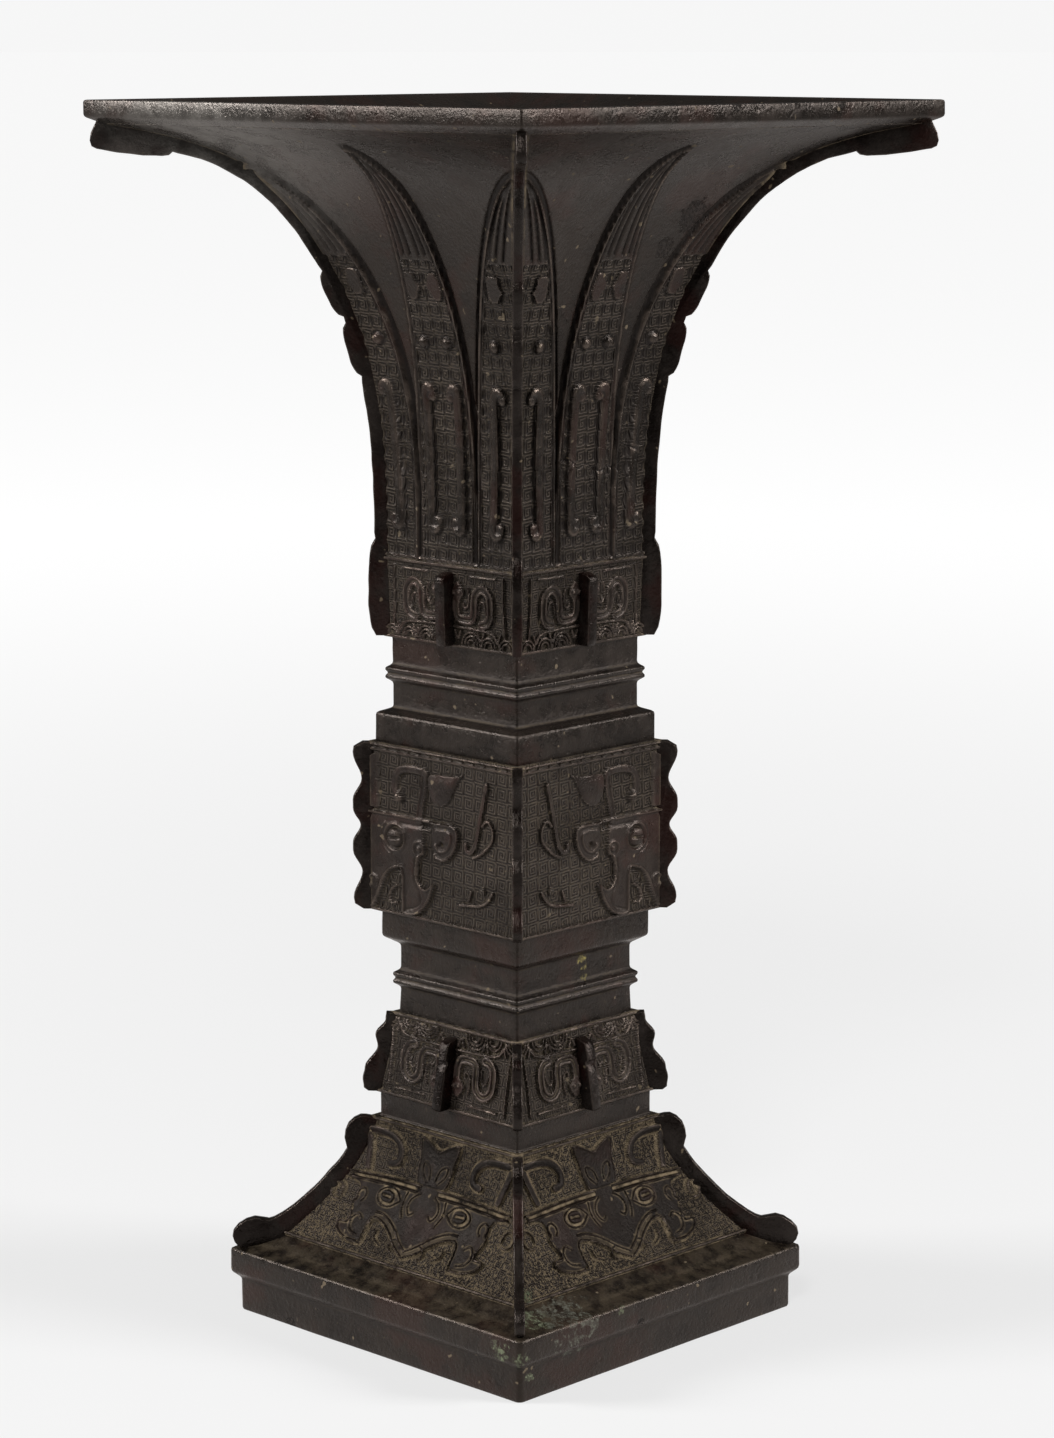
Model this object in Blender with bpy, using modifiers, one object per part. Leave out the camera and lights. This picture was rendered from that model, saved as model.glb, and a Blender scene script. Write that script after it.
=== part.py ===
"""Square gu vase, cast in one piece: flared mouth, waist block and spreading foot."""

import math

import bmesh
import bpy
from mathutils import Matrix, Vector

# overall sizes, in metres; "half" is the distance from the axis to a flat side
height = 0.4000
wall = 0.0034
relief = 0.0009
high_relief = 0.0017
embed = 0.0004
panel_step = 0.0004

# rim
rim_half = 0.0968
rim_band = 0.0053
rim_slope = 0.0022
rim_under_half = 0.0925
rim_lip = 0.0040
flare_top = height - rim_band - rim_slope

# flared trumpet
trumpet_low = 0.2545
throat_half = 0.0297
flare_reach = 0.0388
flare_power = 3.0
lip_power = 20.0
trumpet_steps = 9
trumpet_crowding = 1.7

# upper dragon band
upper_band_low = 0.2280
upper_band_low_half = 0.0297
upper_band_top_half = 0.0304
upper_band_under_slope = 0.0012

# upper neck with its ring
upper_neck_half = 0.0283
upper_ring_height = 0.2160
upper_ring_half = 0.0301

# middle block
block_top = 0.2030
block_top_half = 0.0324
block_slope = 0.0016
panel_top = 0.1936
panel_low = 0.1373
panel_half = 0.0338
block_low = 0.1282
block_low_half = 0.0312
block_under_slope = 0.0027

# lower neck with its ring
lower_neck_top_half = 0.0266
lower_neck_low_half = 0.0273
lower_ring_height = 0.1140
lower_ring_half = 0.0288

# both rings are a pair of edges with a waist between them
ring_edge_gap = 0.0034
ring_root_gap = 0.0060
ring_waist = 0.0006

# lower dragon band and the plain strip under it
lower_band_top = 0.1026
lower_band_low = 0.0753
lower_band_top_half = 0.0285
lower_band_low_half = 0.0327
strip_half = 0.0318

# flared foot panel
foot_panel_top = 0.0672
foot_panel_low = 0.0262
foot_panel_top_half = 0.0336
foot_panel_low_half = 0.0556
foot_flare_power = 1.6
foot_panel_steps = 4

# slab and foot rim
slab_top = 0.0214
slab_low = 0.0135
slab_half = 0.0678
slope_sag = 0.0010
foot_top = 0.0112
foot_half = 0.0653
foot_lip = 0.0050

# inside of the vessel
floor_top = 0.1315
floor_under = 0.1270

# flanges
corner_flange_thick = 0.0033
middle_flange_thick = 0.0042
middle_flange_reach = 0.0046
middle_flange_gap = 0.0030
flange_embed = 0.0034
middle_flange_embed = 0.0012
flange_crest = 0.0053
flange_hollow = 0.0025
flange_plain = 0.0034
flange_end_step = 0.0028
flange_round = 0.0006
top_lobe_depth = 0.0080
top_lobe_inset = 0.0022

# leaves on the trumpet
leaf_foot_gap = 0.0033
leaf_tip_gap = 0.0055
half_leaf_tip_gap = 0.0125
leaf_half = 0.0127
half_leaf_width = 0.0166
half_leaf_cover = 0.0016
leaf_steps = 7
boss_radius = 0.0022
bar_width = 0.0031
bar_lean = 0.0024
leaf_low = trumpet_low + leaf_foot_gap
leaf_tip = flare_top - leaf_tip_gap
half_leaf_top = flare_top - half_leaf_tip_gap

SIDES = 4
ROOT_TWO = math.sqrt(2.0)


def clear_scene():
    """Remove whatever the file starts with."""
    for thing in list(bpy.data.objects):
        bpy.data.objects.remove(thing, do_unlink=True)


def new_collection(name):
    """Add a collection to the scene."""
    made = bpy.data.collections.new(name)
    bpy.context.scene.collection.children.link(made)
    return made


def bronze_material():
    """Dark patinated bronze."""
    made = bpy.data.materials.new("dark_bronze")
    made.use_nodes = True
    shader = made.node_tree.nodes["Principled BSDF"]
    shader.inputs["Base Color"].default_value = (0.055, 0.045, 0.040, 1.0)
    shader.inputs["Roughness"].default_value = 0.48
    shader.inputs["Metallic"].default_value = 0.55
    return made


# profile of the vessel, as (half, height) points from top to bottom

def trumpet_half_at(level):
    """Half width of the flare at a height."""
    lip_reach = rim_under_half - throat_half - flare_reach
    rise = min(max((level - trumpet_low) / (flare_top - trumpet_low), 0.0), 1.0)
    return throat_half + flare_reach * rise ** flare_power + lip_reach * rise ** lip_power


def trumpet_line():
    """Outside of the flare, from under the rim down to the upper band."""
    points = []
    for step in range(trumpet_steps + 1):
        level = flare_top - (flare_top - trumpet_low) * (step / trumpet_steps) ** trumpet_crowding
        points.append((trumpet_half_at(level), level))
    return points


def upper_band_line():
    """Outside of the upper dragon band."""
    return [(upper_band_top_half, trumpet_low), (upper_band_low_half, upper_band_low)]


def panel_line():
    """Outside of the mask panel on the middle block."""
    return [(panel_half, panel_top), (panel_half, panel_low)]


def lower_band_line():
    """Outside of the lower dragon band."""
    return [(lower_band_top_half, lower_band_top), (lower_band_low_half, lower_band_low)]


def foot_panel_point(drop):
    """Point on the flared foot panel, a share of the way down it."""
    half = foot_panel_top_half + (foot_panel_low_half - foot_panel_top_half) * drop ** foot_flare_power
    return half, foot_panel_top - (foot_panel_top - foot_panel_low) * drop


def foot_panel_line():
    """Outside of the flared foot panel."""
    return [foot_panel_point(step / foot_panel_steps) for step in range(foot_panel_steps + 1)]


def ring_line(level, edge_half, top_root_half, low_root_half):
    """A raised ring with two edges and a waist."""
    return [
        (top_root_half, level + ring_root_gap / 2),
        (edge_half, level + ring_edge_gap / 2),
        (edge_half - ring_waist, level),
        (edge_half, level - ring_edge_gap / 2),
        (low_root_half, level - ring_root_gap / 2),
    ]


def outer_line():
    """Whole outside, from the rim down to the bottom of the foot."""
    line = [(rim_half, height), (rim_half, height - rim_band)]
    line += trumpet_line()
    line += upper_band_line()
    line.append((upper_neck_half, upper_band_low - upper_band_under_slope))
    line += ring_line(upper_ring_height, upper_ring_half, upper_neck_half, upper_neck_half)
    line.append((upper_neck_half, block_top + block_slope))
    line.append((block_top_half, block_top))
    line.append((block_top_half, panel_top + panel_step))
    line += panel_line()
    line.append((block_low_half, panel_low - panel_step))
    line.append((block_low_half, block_low))
    line.append((lower_neck_top_half, block_low - block_under_slope))
    neck_mid_half = (lower_neck_top_half + lower_neck_low_half) / 2
    line += ring_line(lower_ring_height, lower_ring_half, neck_mid_half, neck_mid_half)
    line.append((lower_neck_low_half, lower_band_top + panel_step))
    line += lower_band_line()
    line.append((strip_half, lower_band_low - panel_step))
    line.append((strip_half, foot_panel_top + panel_step))
    line += foot_panel_line()
    line.append((foot_panel_low_half, foot_panel_low - panel_step))
    middle_half = (foot_panel_low_half + slab_half) / 2
    middle_level = (foot_panel_low + slab_top) / 2 - slope_sag
    line.append((middle_half, middle_level))
    line.append((slab_half, slab_top))
    line.append((slab_half, slab_low))
    line.append((foot_half, foot_top))
    line.append((foot_half, 0.0))
    return line


def offset_line(points, distance):
    """Move a (half, height) line that runs downwards outwards by a distance along its normals."""
    moved = []
    last = len(points) - 1
    for index, (half, level) in enumerate(points):
        before = points[max(index - 1, 0)]
        after = points[min(index + 1, last)]
        run = Vector((after[0] - before[0], after[1] - before[1])).normalized()
        moved.append((half - run.y * distance, level + run.x * distance))
    return moved


def inner_line():
    """Inside of the mouth, from the floor of the vessel up to the rim."""
    line = [(0.0, floor_top)]
    line.append((block_low_half - wall, floor_top))
    line.append((block_low_half - wall, panel_low + wall * 0.4))
    line.append((panel_half - wall, panel_low + wall))
    line.append((panel_half - wall, panel_top - wall * 0.4))
    line.append((upper_neck_half - wall, block_top - wall * 0.6))
    line.append((upper_neck_half - wall, upper_band_low + wall * 0.3))
    line.append((upper_band_low_half - wall, upper_band_low + wall))
    flare = offset_line(trumpet_line(), -wall)
    line += [point for point in reversed(flare) if point[1] < height - wall * 0.5]
    line.append((rim_half - rim_lip, height))
    return line


def foot_inner_line():
    """Inside of the foot, from the bottom up to the closed top of the hollow."""
    line = [(foot_half - foot_lip, 0.0)]
    line.append((foot_half - foot_lip, foot_top + foot_lip * 0.4))
    spread = offset_line(foot_panel_line(), -wall)
    line += list(reversed(spread))
    line.append((lower_band_low_half - wall * 1.2, lower_band_low + wall * 0.3))
    line.append((lower_neck_low_half - wall, lower_band_top))
    line.append((lower_neck_top_half - wall, floor_under))
    line.append((0.0, floor_under))
    return line


# outlines, as (across, height) points

def arc(centre, radius, start, end, steps):
    """Points round an arc, with its angles in degrees."""
    points = []
    for step in range(steps + 1):
        angle = math.radians(start + (end - start) * step / steps)
        points.append((centre[0] + radius * math.cos(angle), centre[1] + radius * math.sin(angle)))
    return points


def ribbon(path, width):
    """Outline of a band of even width that follows a path."""
    left = []
    right = []
    last = len(path) - 1
    for index, point in enumerate(path):
        before = Vector(path[max(index - 1, 0)])
        after = Vector(path[min(index + 1, last)])
        run = (after - before).normalized()
        side = Vector((-run.y, run.x)) * width / 2
        left.append((point[0] + side.x, point[1] + side.y))
        right.append((point[0] - side.x, point[1] - side.y))
    return left + list(reversed(right))


def mirrored(outline):
    """The same outline on the other side of the middle."""
    return [(-across, level) for across, level in reversed(outline)]


def both_sides(outlines):
    """Each outline and its mirror image."""
    return outlines + [mirrored(outline) for outline in outlines]


def on_panel(outlines, squares_across, squares_up, half, low, top):
    """Scale outlines drawn on a squared grid to a panel; squares_across reach from its middle to a corner."""
    across_unit = half / squares_across
    up_unit = (top - low) / squares_up
    return [[(x * across_unit, low + y * up_unit) for x, y in outline] for outline in outlines]


# leaves of the trumpet

def leaf_outline():
    """The tall pointed leaf in the middle of a side."""
    side = []
    for step in range(leaf_steps + 1):
        rise = math.sin(math.pi / 2 * step / leaf_steps)
        side.append((leaf_half * math.sqrt(1.0 - rise * rise), leaf_low + (leaf_tip - leaf_low) * rise))
    return side + [(-across, level) for across, level in reversed(side[:-1])]


def flare_side_at(level):
    """Half width of the flare at a height, along the straight steps of its side."""
    line = trumpet_line()
    for (upper_half, upper_level), (lower_half, lower_level) in zip(line, line[1:]):
        if level >= lower_level:
            share = (level - lower_level) / (upper_level - lower_level)
            return lower_half + (upper_half - lower_half) * share
    return throat_half


def half_leaf_outline():
    """The half of a corner leaf that lies on one side; the corner flange covers its long edge."""
    inner = []
    for step in range(leaf_steps + 1):
        rise = step / leaf_steps
        level = leaf_low + (half_leaf_top - leaf_low) * rise
        width = (half_leaf_width - half_leaf_cover) * math.sqrt(1.0 - rise ** 6)
        inner.append((flare_side_at(level) - half_leaf_cover - width, level))
    corner = []
    for level in [level for _, level in trumpet_line() if leaf_low < level < half_leaf_top] + [leaf_low]:
        corner.append((flare_side_at(level) - half_leaf_cover, level))
    return inner + corner


def upright_bar(middle, low, top, lean):
    """An upright bar that leans a little."""
    return ribbon([(middle, low), (middle + lean, top)], bar_width)


def leaf_marks():
    """Bosses, bars and horn plates that stand up from the leaves."""
    leaf_span = leaf_tip - leaf_low
    boss_level = leaf_low + leaf_span * 0.523
    bar_low = leaf_low + leaf_span * 0.062
    bar_top = leaf_low + leaf_span * 0.412
    horn_low = leaf_low + leaf_span * 0.630
    horn_high = leaf_low + leaf_span * 0.692
    boss_across = leaf_half * 0.386
    bar_across = leaf_half * 0.504
    horn_in = leaf_half * 0.185
    horn_out = leaf_half * 0.550
    half_boss = trumpet_half_at(boss_level) - half_leaf_width * 0.62
    half_bar = trumpet_half_at(bar_low) - half_leaf_width * 0.64
    half_horn = trumpet_half_at(horn_low) - half_leaf_width * 0.58
    horn_width = leaf_half * 0.42
    waist = (horn_low + horn_high) / 2
    horn = [(horn_in, waist), (horn_out, horn_low), (horn_out, horn_high), (horn_in * 1.2, horn_high)]
    half_horn_plate = [(half_horn, horn_low), (half_horn + horn_width * 1.2, waist)]
    half_horn_plate.append((half_horn + horn_width * 0.5, horn_high))
    marks = [
        arc((boss_across, boss_level), boss_radius, 0, 288, 4),
        arc((half_boss, boss_level), boss_radius, 0, 288, 4),
        upright_bar(bar_across, bar_low, bar_top, 0.0),
        upright_bar(half_bar, bar_low, bar_top, bar_lean),
        horn,
        half_horn_plate,
    ]
    return both_sides(marks)


# dragons of the two bands, drawn on a grid 30 squares from middle to corner and 27 up

def dragon_outlines():
    """One dragon and the two scales at its back; the lower band has the same, turned upside down."""
    body = [(21.5, 10.5)]
    body += arc((18.2, 17.3), 3.3, 15, 165, 3)
    body += arc((11.4, 14.0), 3.5, -15, -165, 3)
    body.append((7.6, 16.0))
    head = [(4.8, 18.4), (10.2, 18.4), (7.3, 22.6)]
    scales = []
    for middle in (12.6, 20.8):
        scales.append(arc((middle, 1.4), 3.9, 0, 180, 4))
    return [ribbon(body, 2.5), head] + scales


def band_figures(half, low, top, upside_down):
    """Both dragons of one side of a band."""
    drawn = both_sides(dragon_outlines())
    if upside_down:
        low, top = top, low
    return on_panel(drawn, 30.0, 27.0, half, low, top)


# mask of the middle block, drawn on a grid 34 squares from middle to corner and 56 up;
# each side has half a mask, whose middle is the corner at positive across

def block_mask():
    """Half a mask, its horns and ear, and the tail and claw behind it."""
    face = [(32.0, 32.6), (10.5, 32.6), (7.6, 25.4), (9.1, 17.0), (6.6, 11.8), (3.6, 13.0), (4.6, 8.0)]
    face += [(8.6, 3.0), (13.0, 1.2), (16.2, 1.2), (16.4, 17.0), (21.6, 16.0), (25.4, 12.4), (30.4, 1.4), (32.0, 1.4)]
    ear = [(-7.0, 33.2), (-6.4, 26.4), (-3.6, 22.4), (0.8, 21.8), (4.2, 25.6), (3.8, 33.2)]
    horn = [(18.0, 39.6), (20.4, 41.0), (20.2, 45.6), (16.6, 48.4), (8.0, 48.6), (7.6, 43.0), (9.2, 34.8)]
    tall_horn = [(-12.6, 53.0), (-8.2, 49.2), (4.6, 49.0), (5.2, 42.8), (0.6, 38.8), (-3.6, 40.8), (-6.8, 47.0)]
    forehead = [(28.4, 34.4), (28.4, 51.6), (32.0, 50.0), (32.0, 34.4)]
    tail = [(-19.6, 47.4), (-16.9, 33.0), (-15.4, 27.8), (-11.8, 26.2)]
    tail_leaf = [(-20.4, 37.8), (-23.0, 32.4), (-20.4, 27.6), (-18.6, 31.6)]
    claw = [(-22.6, 14.2), (-19.4, 9.8), (-9.2, 8.6)]
    return [face, ear, ribbon(horn, 2.3), tall_horn, forehead, ribbon(tail, 1.9), tail_leaf, ribbon(claw, 1.7)]


def block_mask_marks():
    """Eye and the brow over it."""
    brow = ribbon([(31.6, 31.3), (12.4, 31.1)], 1.6)
    return [arc((20.3, 26.0), 3.7, 0, 315, 7), brow]


# mask of the foot, drawn on a grid 34 squares from middle to the panel's top corner and 41 up;
# a whole mask stands in the middle of each side

def foot_mask_face():
    """Forehead shield, face, jaws and upper lip in one plate."""
    side = [(0.0, 35.2), (9.1, 38.9), (7.4, 30.0), (6.4, 23.2), (33.6, 22.0), (33.0, 19.8), (29.8, 18.2)]
    side += [(30.2, 14.4), (28.0, 10.8), (30.0, 8.0), (33.6, 9.2), (31.6, 5.4), (26.6, 3.4), (20.6, 3.2)]
    side += [(20.4, 11.4), (14.8, 11.0), (5.4, 5.0), (0.0, 2.8)]
    return side + [(-across, level) for across, level in reversed(side[1:-1])]


def foot_mask_horns():
    """A curled horn and its leg."""
    curl = [(31.2, 36.0), (22.4, 36.0), (16.6, 32.8), (16.4, 28.4), (19.8, 27.4)]
    leg = [(31.6, 32.8), (29.8, 24.6)]
    return [ribbon(curl, 2.5), ribbon(leg, 2.3)]


def foot_mask_marks():
    """Eye and brow."""
    brow = ribbon([(32.6, 20.9), (7.8, 22.1)], 1.8)
    eye = arc((16.2, 17.2), 2.9, 0, 315, 7)
    return [brow, eye]


# flange outlines, as (distance from the axis along a diagonal, height)

def eased(stations, steps):
    """Join the crests and hollows of a flange with smooth waves."""
    points = [stations[0]]
    for before, after in zip(stations, stations[1:]):
        for step in range(1, steps + 1):
            share = step / steps
            ease = (1.0 - math.cos(math.pi * share)) / 2
            points.append((before[0] + (after[0] - before[0]) * ease, before[1] + (after[1] - before[1]) * share))
    return points


def lobed_edge(line, lobes):
    """Edge of a flange beyond a corner line, with rounded lobes between the given heights."""
    points = []
    for half, level in line:
        reach = flange_plain
        for low, high in lobes:
            if low <= level <= high:
                share = (level - low) / (high - low)
                reach += (flange_crest - flange_plain) * min(1.0, 2.2 * math.sqrt(share * (1.0 - share)))
        points.append((half, level, reach))
    return points


def corner_strip(points):
    """Outer edge of a flange, and the line inside the corner that it is rooted on, both from top to bottom."""
    outside = []
    inside = []
    last = len(points) - 1
    for index, (half, level, reach) in enumerate(points):
        before = points[max(index - 1, 0)]
        after = points[min(index + 1, last)]
        run = Vector(((after[0] - before[0]) * ROOT_TWO, after[1] - before[1])).normalized()
        normal = Vector((-run.y, run.x))
        outside.append((half * ROOT_TWO + normal.x * reach, level + normal.y * reach))
        inside.append((half * ROOT_TWO - normal.x * flange_embed, level - normal.y * flange_embed))
    return outside, inside


def levels_between(top, low, steps):
    """Even heights from top to low."""
    return [top + (low - top) * step / steps for step in range(steps + 1)]


def trumpet_flange():
    """Long scalloped flange down the flare and the upper band, with a deep lobe under the rim."""
    low = upper_band_low + panel_step
    span = flare_top - low
    lobes = [(low + span * 0.635, low + span * 0.726), (low + span * 0.517, low + span * 0.623)]
    lobes.append((low, low + span * 0.194))
    levels = levels_between(low + span * 0.954, low + span * 0.741, 3)
    for lobe_low, lobe_top in lobes:
        levels += levels_between(lobe_top, lobe_low, 4)
    line = [(trumpet_half_at(level), level) for level in levels]
    outside, inside = corner_strip(lobed_edge(line, lobes))
    outer_end = rim_half * ROOT_TWO - top_lobe_inset
    lobe_low = flare_top - top_lobe_depth
    lobe_start = rim_under_half * ROOT_TWO * 0.845
    top_lobe = [(outer_end - top_lobe_inset, flare_top + rim_slope / 2)]
    top_lobe += [(outer_end, lobe_low + top_lobe_depth * 0.3), (outer_end - top_lobe_inset / 2, lobe_low)]
    top_lobe.append((lobe_start, lobe_low - top_lobe_inset))
    top_root = (rim_under_half * ROOT_TWO - flange_embed / 2, flare_top + rim_slope)
    return top_lobe + outside + list(reversed(inside)) + [top_root]


def block_flange():
    """Scalloped flange of the middle block, the same above and below its middle."""
    middle = (panel_top + panel_low) / 2
    span = (panel_top - panel_low) / 2
    corner = panel_half * ROOT_TWO
    crest = corner + flange_crest
    hollow = corner + flange_hollow
    upper = [(crest, middle + span * 0.90), (hollow, middle + span * 0.55)]
    upper += [(crest, middle + span * 0.22), (hollow + flange_round, middle)]
    lower = [(reach, 2 * middle - level) for reach, level in reversed(upper[:-1])]
    edge = [(crest - flange_end_step, middle + span * 0.99)] + eased(upper + lower, 2)
    edge.append((crest - flange_end_step, middle - span * 0.99))
    inside = corner - flange_embed
    return edge + [(inside, middle - span * 0.99), (inside, middle + span * 0.99)]


def lower_band_flange():
    """Flange of the lower band: a thin start, a small lobe and a large one."""
    span = lower_band_top - lower_band_low
    start = lower_band_top_half * ROOT_TWO
    end = lower_band_low_half * ROOT_TWO
    stations = [(0.99, 0.42), (0.90, 0.38), (0.71, 0.80), (0.56, 0.49), (0.28, 1.02), (0.10, 0.95)]
    edge = []
    for share, reach in stations:
        edge.append((end + (start - end) * share + flange_crest * reach, lower_band_low + span * share))
    edge = eased(edge, 2)
    edge.append((end + flange_crest - flange_end_step, lower_band_low + span * 0.01))
    inside_low = (end - flange_embed, lower_band_low + span * 0.01)
    inside_top = (start - flange_embed, lower_band_low + span * 0.99)
    return edge + [inside_low, inside_top]


def foot_flange():
    """Flange of the foot: a lobe, a long sweep, and a lobe that lies on the slope above the slab."""
    sweep = [(0.003, 0.38), (0.012, 0.91), (0.102, 1.45), (0.188, 1.34), (0.293, 0.85)]
    sweep += [(0.478, 0.96), (0.654, 1.06), (0.810, 1.36), (0.876, 1.74)]
    slope_lobe = [(0.474, 1.57), (0.798, 1.32), (0.913, 0.91), (0.844, 0.09)]
    edge = []
    for drop, reach in sweep:
        half, level = foot_panel_point(drop)
        edge.append((half * ROOT_TWO + flange_crest * reach, level))
    for share, rise in slope_lobe:
        half = foot_panel_low_half + (slab_half - foot_panel_low_half) * share
        level = foot_panel_low + (slab_top - foot_panel_low) * share
        edge.append((half * ROOT_TWO, level + flange_crest * rise))
    inside = [(slab_half * ROOT_TWO - flange_embed * 2, slab_top - flange_embed / 2)]
    for drop in (1.0, 0.8, 0.45, 0.03):
        half, level = foot_panel_point(drop)
        inside.append((half * ROOT_TWO - flange_embed / 2, level - flange_embed / 2))
    return edge + inside


def middle_flange(top, low, top_half, low_half, notches):
    """Short flange in the middle of a band, drawn as (distance from the axis, height)."""
    span = top - low
    edge = [(top_half - middle_flange_embed, top), (top_half + flange_round, top)]
    edge.append((top_half + middle_flange_reach, top - flange_round * 2))
    for share in notches:
        level = low + span * share
        half = low_half + (top_half - low_half) * share + middle_flange_reach
        edge.append((half, level + flange_round))
        edge.append((half - flange_round, level))
        edge.append((half, level - flange_round))
    edge.append((low_half + middle_flange_reach, low + flange_round))
    edge.append((low_half + middle_flange_reach - flange_round, low))
    edge.append((low_half - middle_flange_embed, low))
    return list(reversed(edge))


# solids

def apply_modifiers(thing):
    """Bake the modifiers of an object into its mesh."""
    depsgraph = bpy.context.evaluated_depsgraph_get()
    baked = bpy.data.meshes.new_from_object(thing.evaluated_get(depsgraph))
    thing.modifiers.clear()
    thing.data = baked


def turned_square(name, line, closed, home):
    """Turn a (half, height) line into a square-sided solid whose flat sides face X and Y."""
    made = bpy.data.meshes.new(name)
    corners = [(half * ROOT_TWO, 0.0, level) for half, level in line]
    edges = [(index, index + 1) for index in range(len(line) - 1)]
    if closed:
        edges.append((len(line) - 1, 0))
    made.from_pydata(corners, edges, [])
    thing = bpy.data.objects.new(name, made)
    home.objects.link(thing)
    screw = thing.modifiers.new("turn", "SCREW")
    screw.axis = "Z"
    screw.angle = math.tau
    screw.steps = SIDES
    screw.render_steps = SIDES
    screw.use_merge_vertices = True
    screw.merge_threshold = 0.00001
    screw.use_smooth_shade = False
    apply_modifiers(thing)
    thing.data.transform(Matrix.Rotation(math.pi / SIDES, 4, "Z"))
    return thing


def outline_solid(name, outlines, near, far, home):
    """Stand (across, height) outlines up on X and Z and push them out along -Y from near to far."""
    curve = bpy.data.curves.new(name, "CURVE")
    curve.dimensions = "2D"
    curve.fill_mode = "BOTH"
    curve.extrude = (far - near) / 2
    for outline in outlines:
        spline = curve.splines.new("POLY")
        spline.points.add(len(outline) - 1)
        for point, (across, level) in zip(spline.points, outline):
            point.co = (across, level, 0.0, 1.0)
        spline.use_cyclic_u = True
    thing = bpy.data.objects.new(name + "_curve", curve)
    home.objects.link(thing)
    depsgraph = bpy.context.evaluated_depsgraph_get()
    made = bpy.data.meshes.new_from_object(thing.evaluated_get(depsgraph))
    bpy.data.objects.remove(thing, do_unlink=True)
    work = bmesh.new()
    work.from_mesh(made)
    bmesh.ops.remove_doubles(work, verts=work.verts, dist=0.000001)
    bmesh.ops.recalc_face_normals(work, faces=work.faces)
    work.to_mesh(made)
    work.free()
    made.transform(Matrix.Rotation(math.pi / 2, 4, "X"))
    made.transform(Matrix.Translation((0.0, -(near + far) / 2, 0.0)))
    solid = bpy.data.objects.new(name, made)
    home.objects.link(solid)
    return solid


def combine(thing, operand, operation):
    """Boolean one solid with another."""
    boolean = thing.modifiers.new(operation.lower(), "BOOLEAN")
    boolean.operation = operation
    boolean.solver = "EXACT"
    boolean.object = operand
    apply_modifiers(thing)


def all_sides(thing, home):
    """Repeat a solid made for the -Y side: mirrored in the corner plane, and both turned half round."""
    mirror = Matrix(((0, -1, 0, 0), (-1, 0, 0, 0), (0, 0, 1, 0), (0, 0, 0, 1)))
    half_turn = Matrix.Rotation(math.pi, 4, "Z")
    work = bmesh.new()
    for placing in (Matrix.Identity(4), mirror, half_turn, half_turn @ mirror):
        copy = thing.data.copy()
        copy.transform(placing)
        if placing.determinant() < 0:
            copy.flip_normals()
        work.from_mesh(copy)
        bpy.data.meshes.remove(copy)
    made = bpy.data.meshes.new(thing.name + "_all")
    work.to_mesh(made)
    work.free()
    repeated = bpy.data.objects.new(thing.name + "_all", made)
    home.objects.link(repeated)
    return repeated


def all_corners(thing, home):
    """Repeat a flange made along +X at the four corners."""
    work = bmesh.new()
    for corner in range(SIDES):
        copy = thing.data.copy()
        copy.transform(Matrix.Rotation(math.tau * (corner + 0.5) / SIDES, 4, "Z"))
        work.from_mesh(copy)
        bpy.data.meshes.remove(copy)
    made = bpy.data.meshes.new(thing.name + "_all")
    work.to_mesh(made)
    work.free()
    repeated = bpy.data.objects.new(thing.name + "_all", made)
    home.objects.link(repeated)
    return repeated


def raised(name, line, rise, outlines, home):
    """Relief that follows a part of the outside: the outlines pushed through a thin shell round it."""
    skin = offset_line(line, rise) + list(reversed(offset_line(line, -embed)))
    shell = turned_square(name, skin, True, home)
    cutter = outline_solid(name + "_outline", outlines, wall, rim_half + wall, home)
    combine(shell, cutter, "INTERSECT")
    return all_sides(shell, home)


def relief_solids(home):
    """All relief figures, the broad plates first and then the marks on them."""
    leaves = [leaf_outline(), half_leaf_outline(), mirrored(half_leaf_outline())]
    upper_dragons = band_figures(upper_band_top_half, upper_band_low, trumpet_low, False)
    lower_band_half = (lower_band_top_half + lower_band_low_half) / 2
    lower_dragons = band_figures(lower_band_half, lower_band_low, lower_band_top, True)
    block_size = (34.0, 56.0, panel_half, panel_low, panel_top)
    foot_size = (34.0, 41.0, foot_panel_top_half, foot_panel_low, foot_panel_top)
    block_plates = [mirrored(outline) for outline in on_panel(block_mask(), *block_size)]
    block_marks = [mirrored(outline) for outline in on_panel(block_mask_marks(), *block_size)]
    foot_plates = on_panel([foot_mask_face()] + both_sides(foot_mask_horns()), *foot_size)
    foot_marks = on_panel(both_sides(foot_mask_marks()), *foot_size)
    return [
        raised("leaves", trumpet_line(), relief, leaves, home),
        raised("upper_dragons", upper_band_line(), relief, upper_dragons, home),
        raised("block_mask", panel_line(), relief, block_plates, home),
        raised("lower_dragons", lower_band_line(), relief, lower_dragons, home),
        raised("foot_mask", foot_panel_line(), relief, foot_plates, home),
        raised("leaf_marks", trumpet_line(), high_relief, leaf_marks(), home),
        raised("block_marks", panel_line(), high_relief, block_marks, home),
        raised("foot_marks", foot_panel_line(), high_relief, foot_marks, home),
    ]


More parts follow.
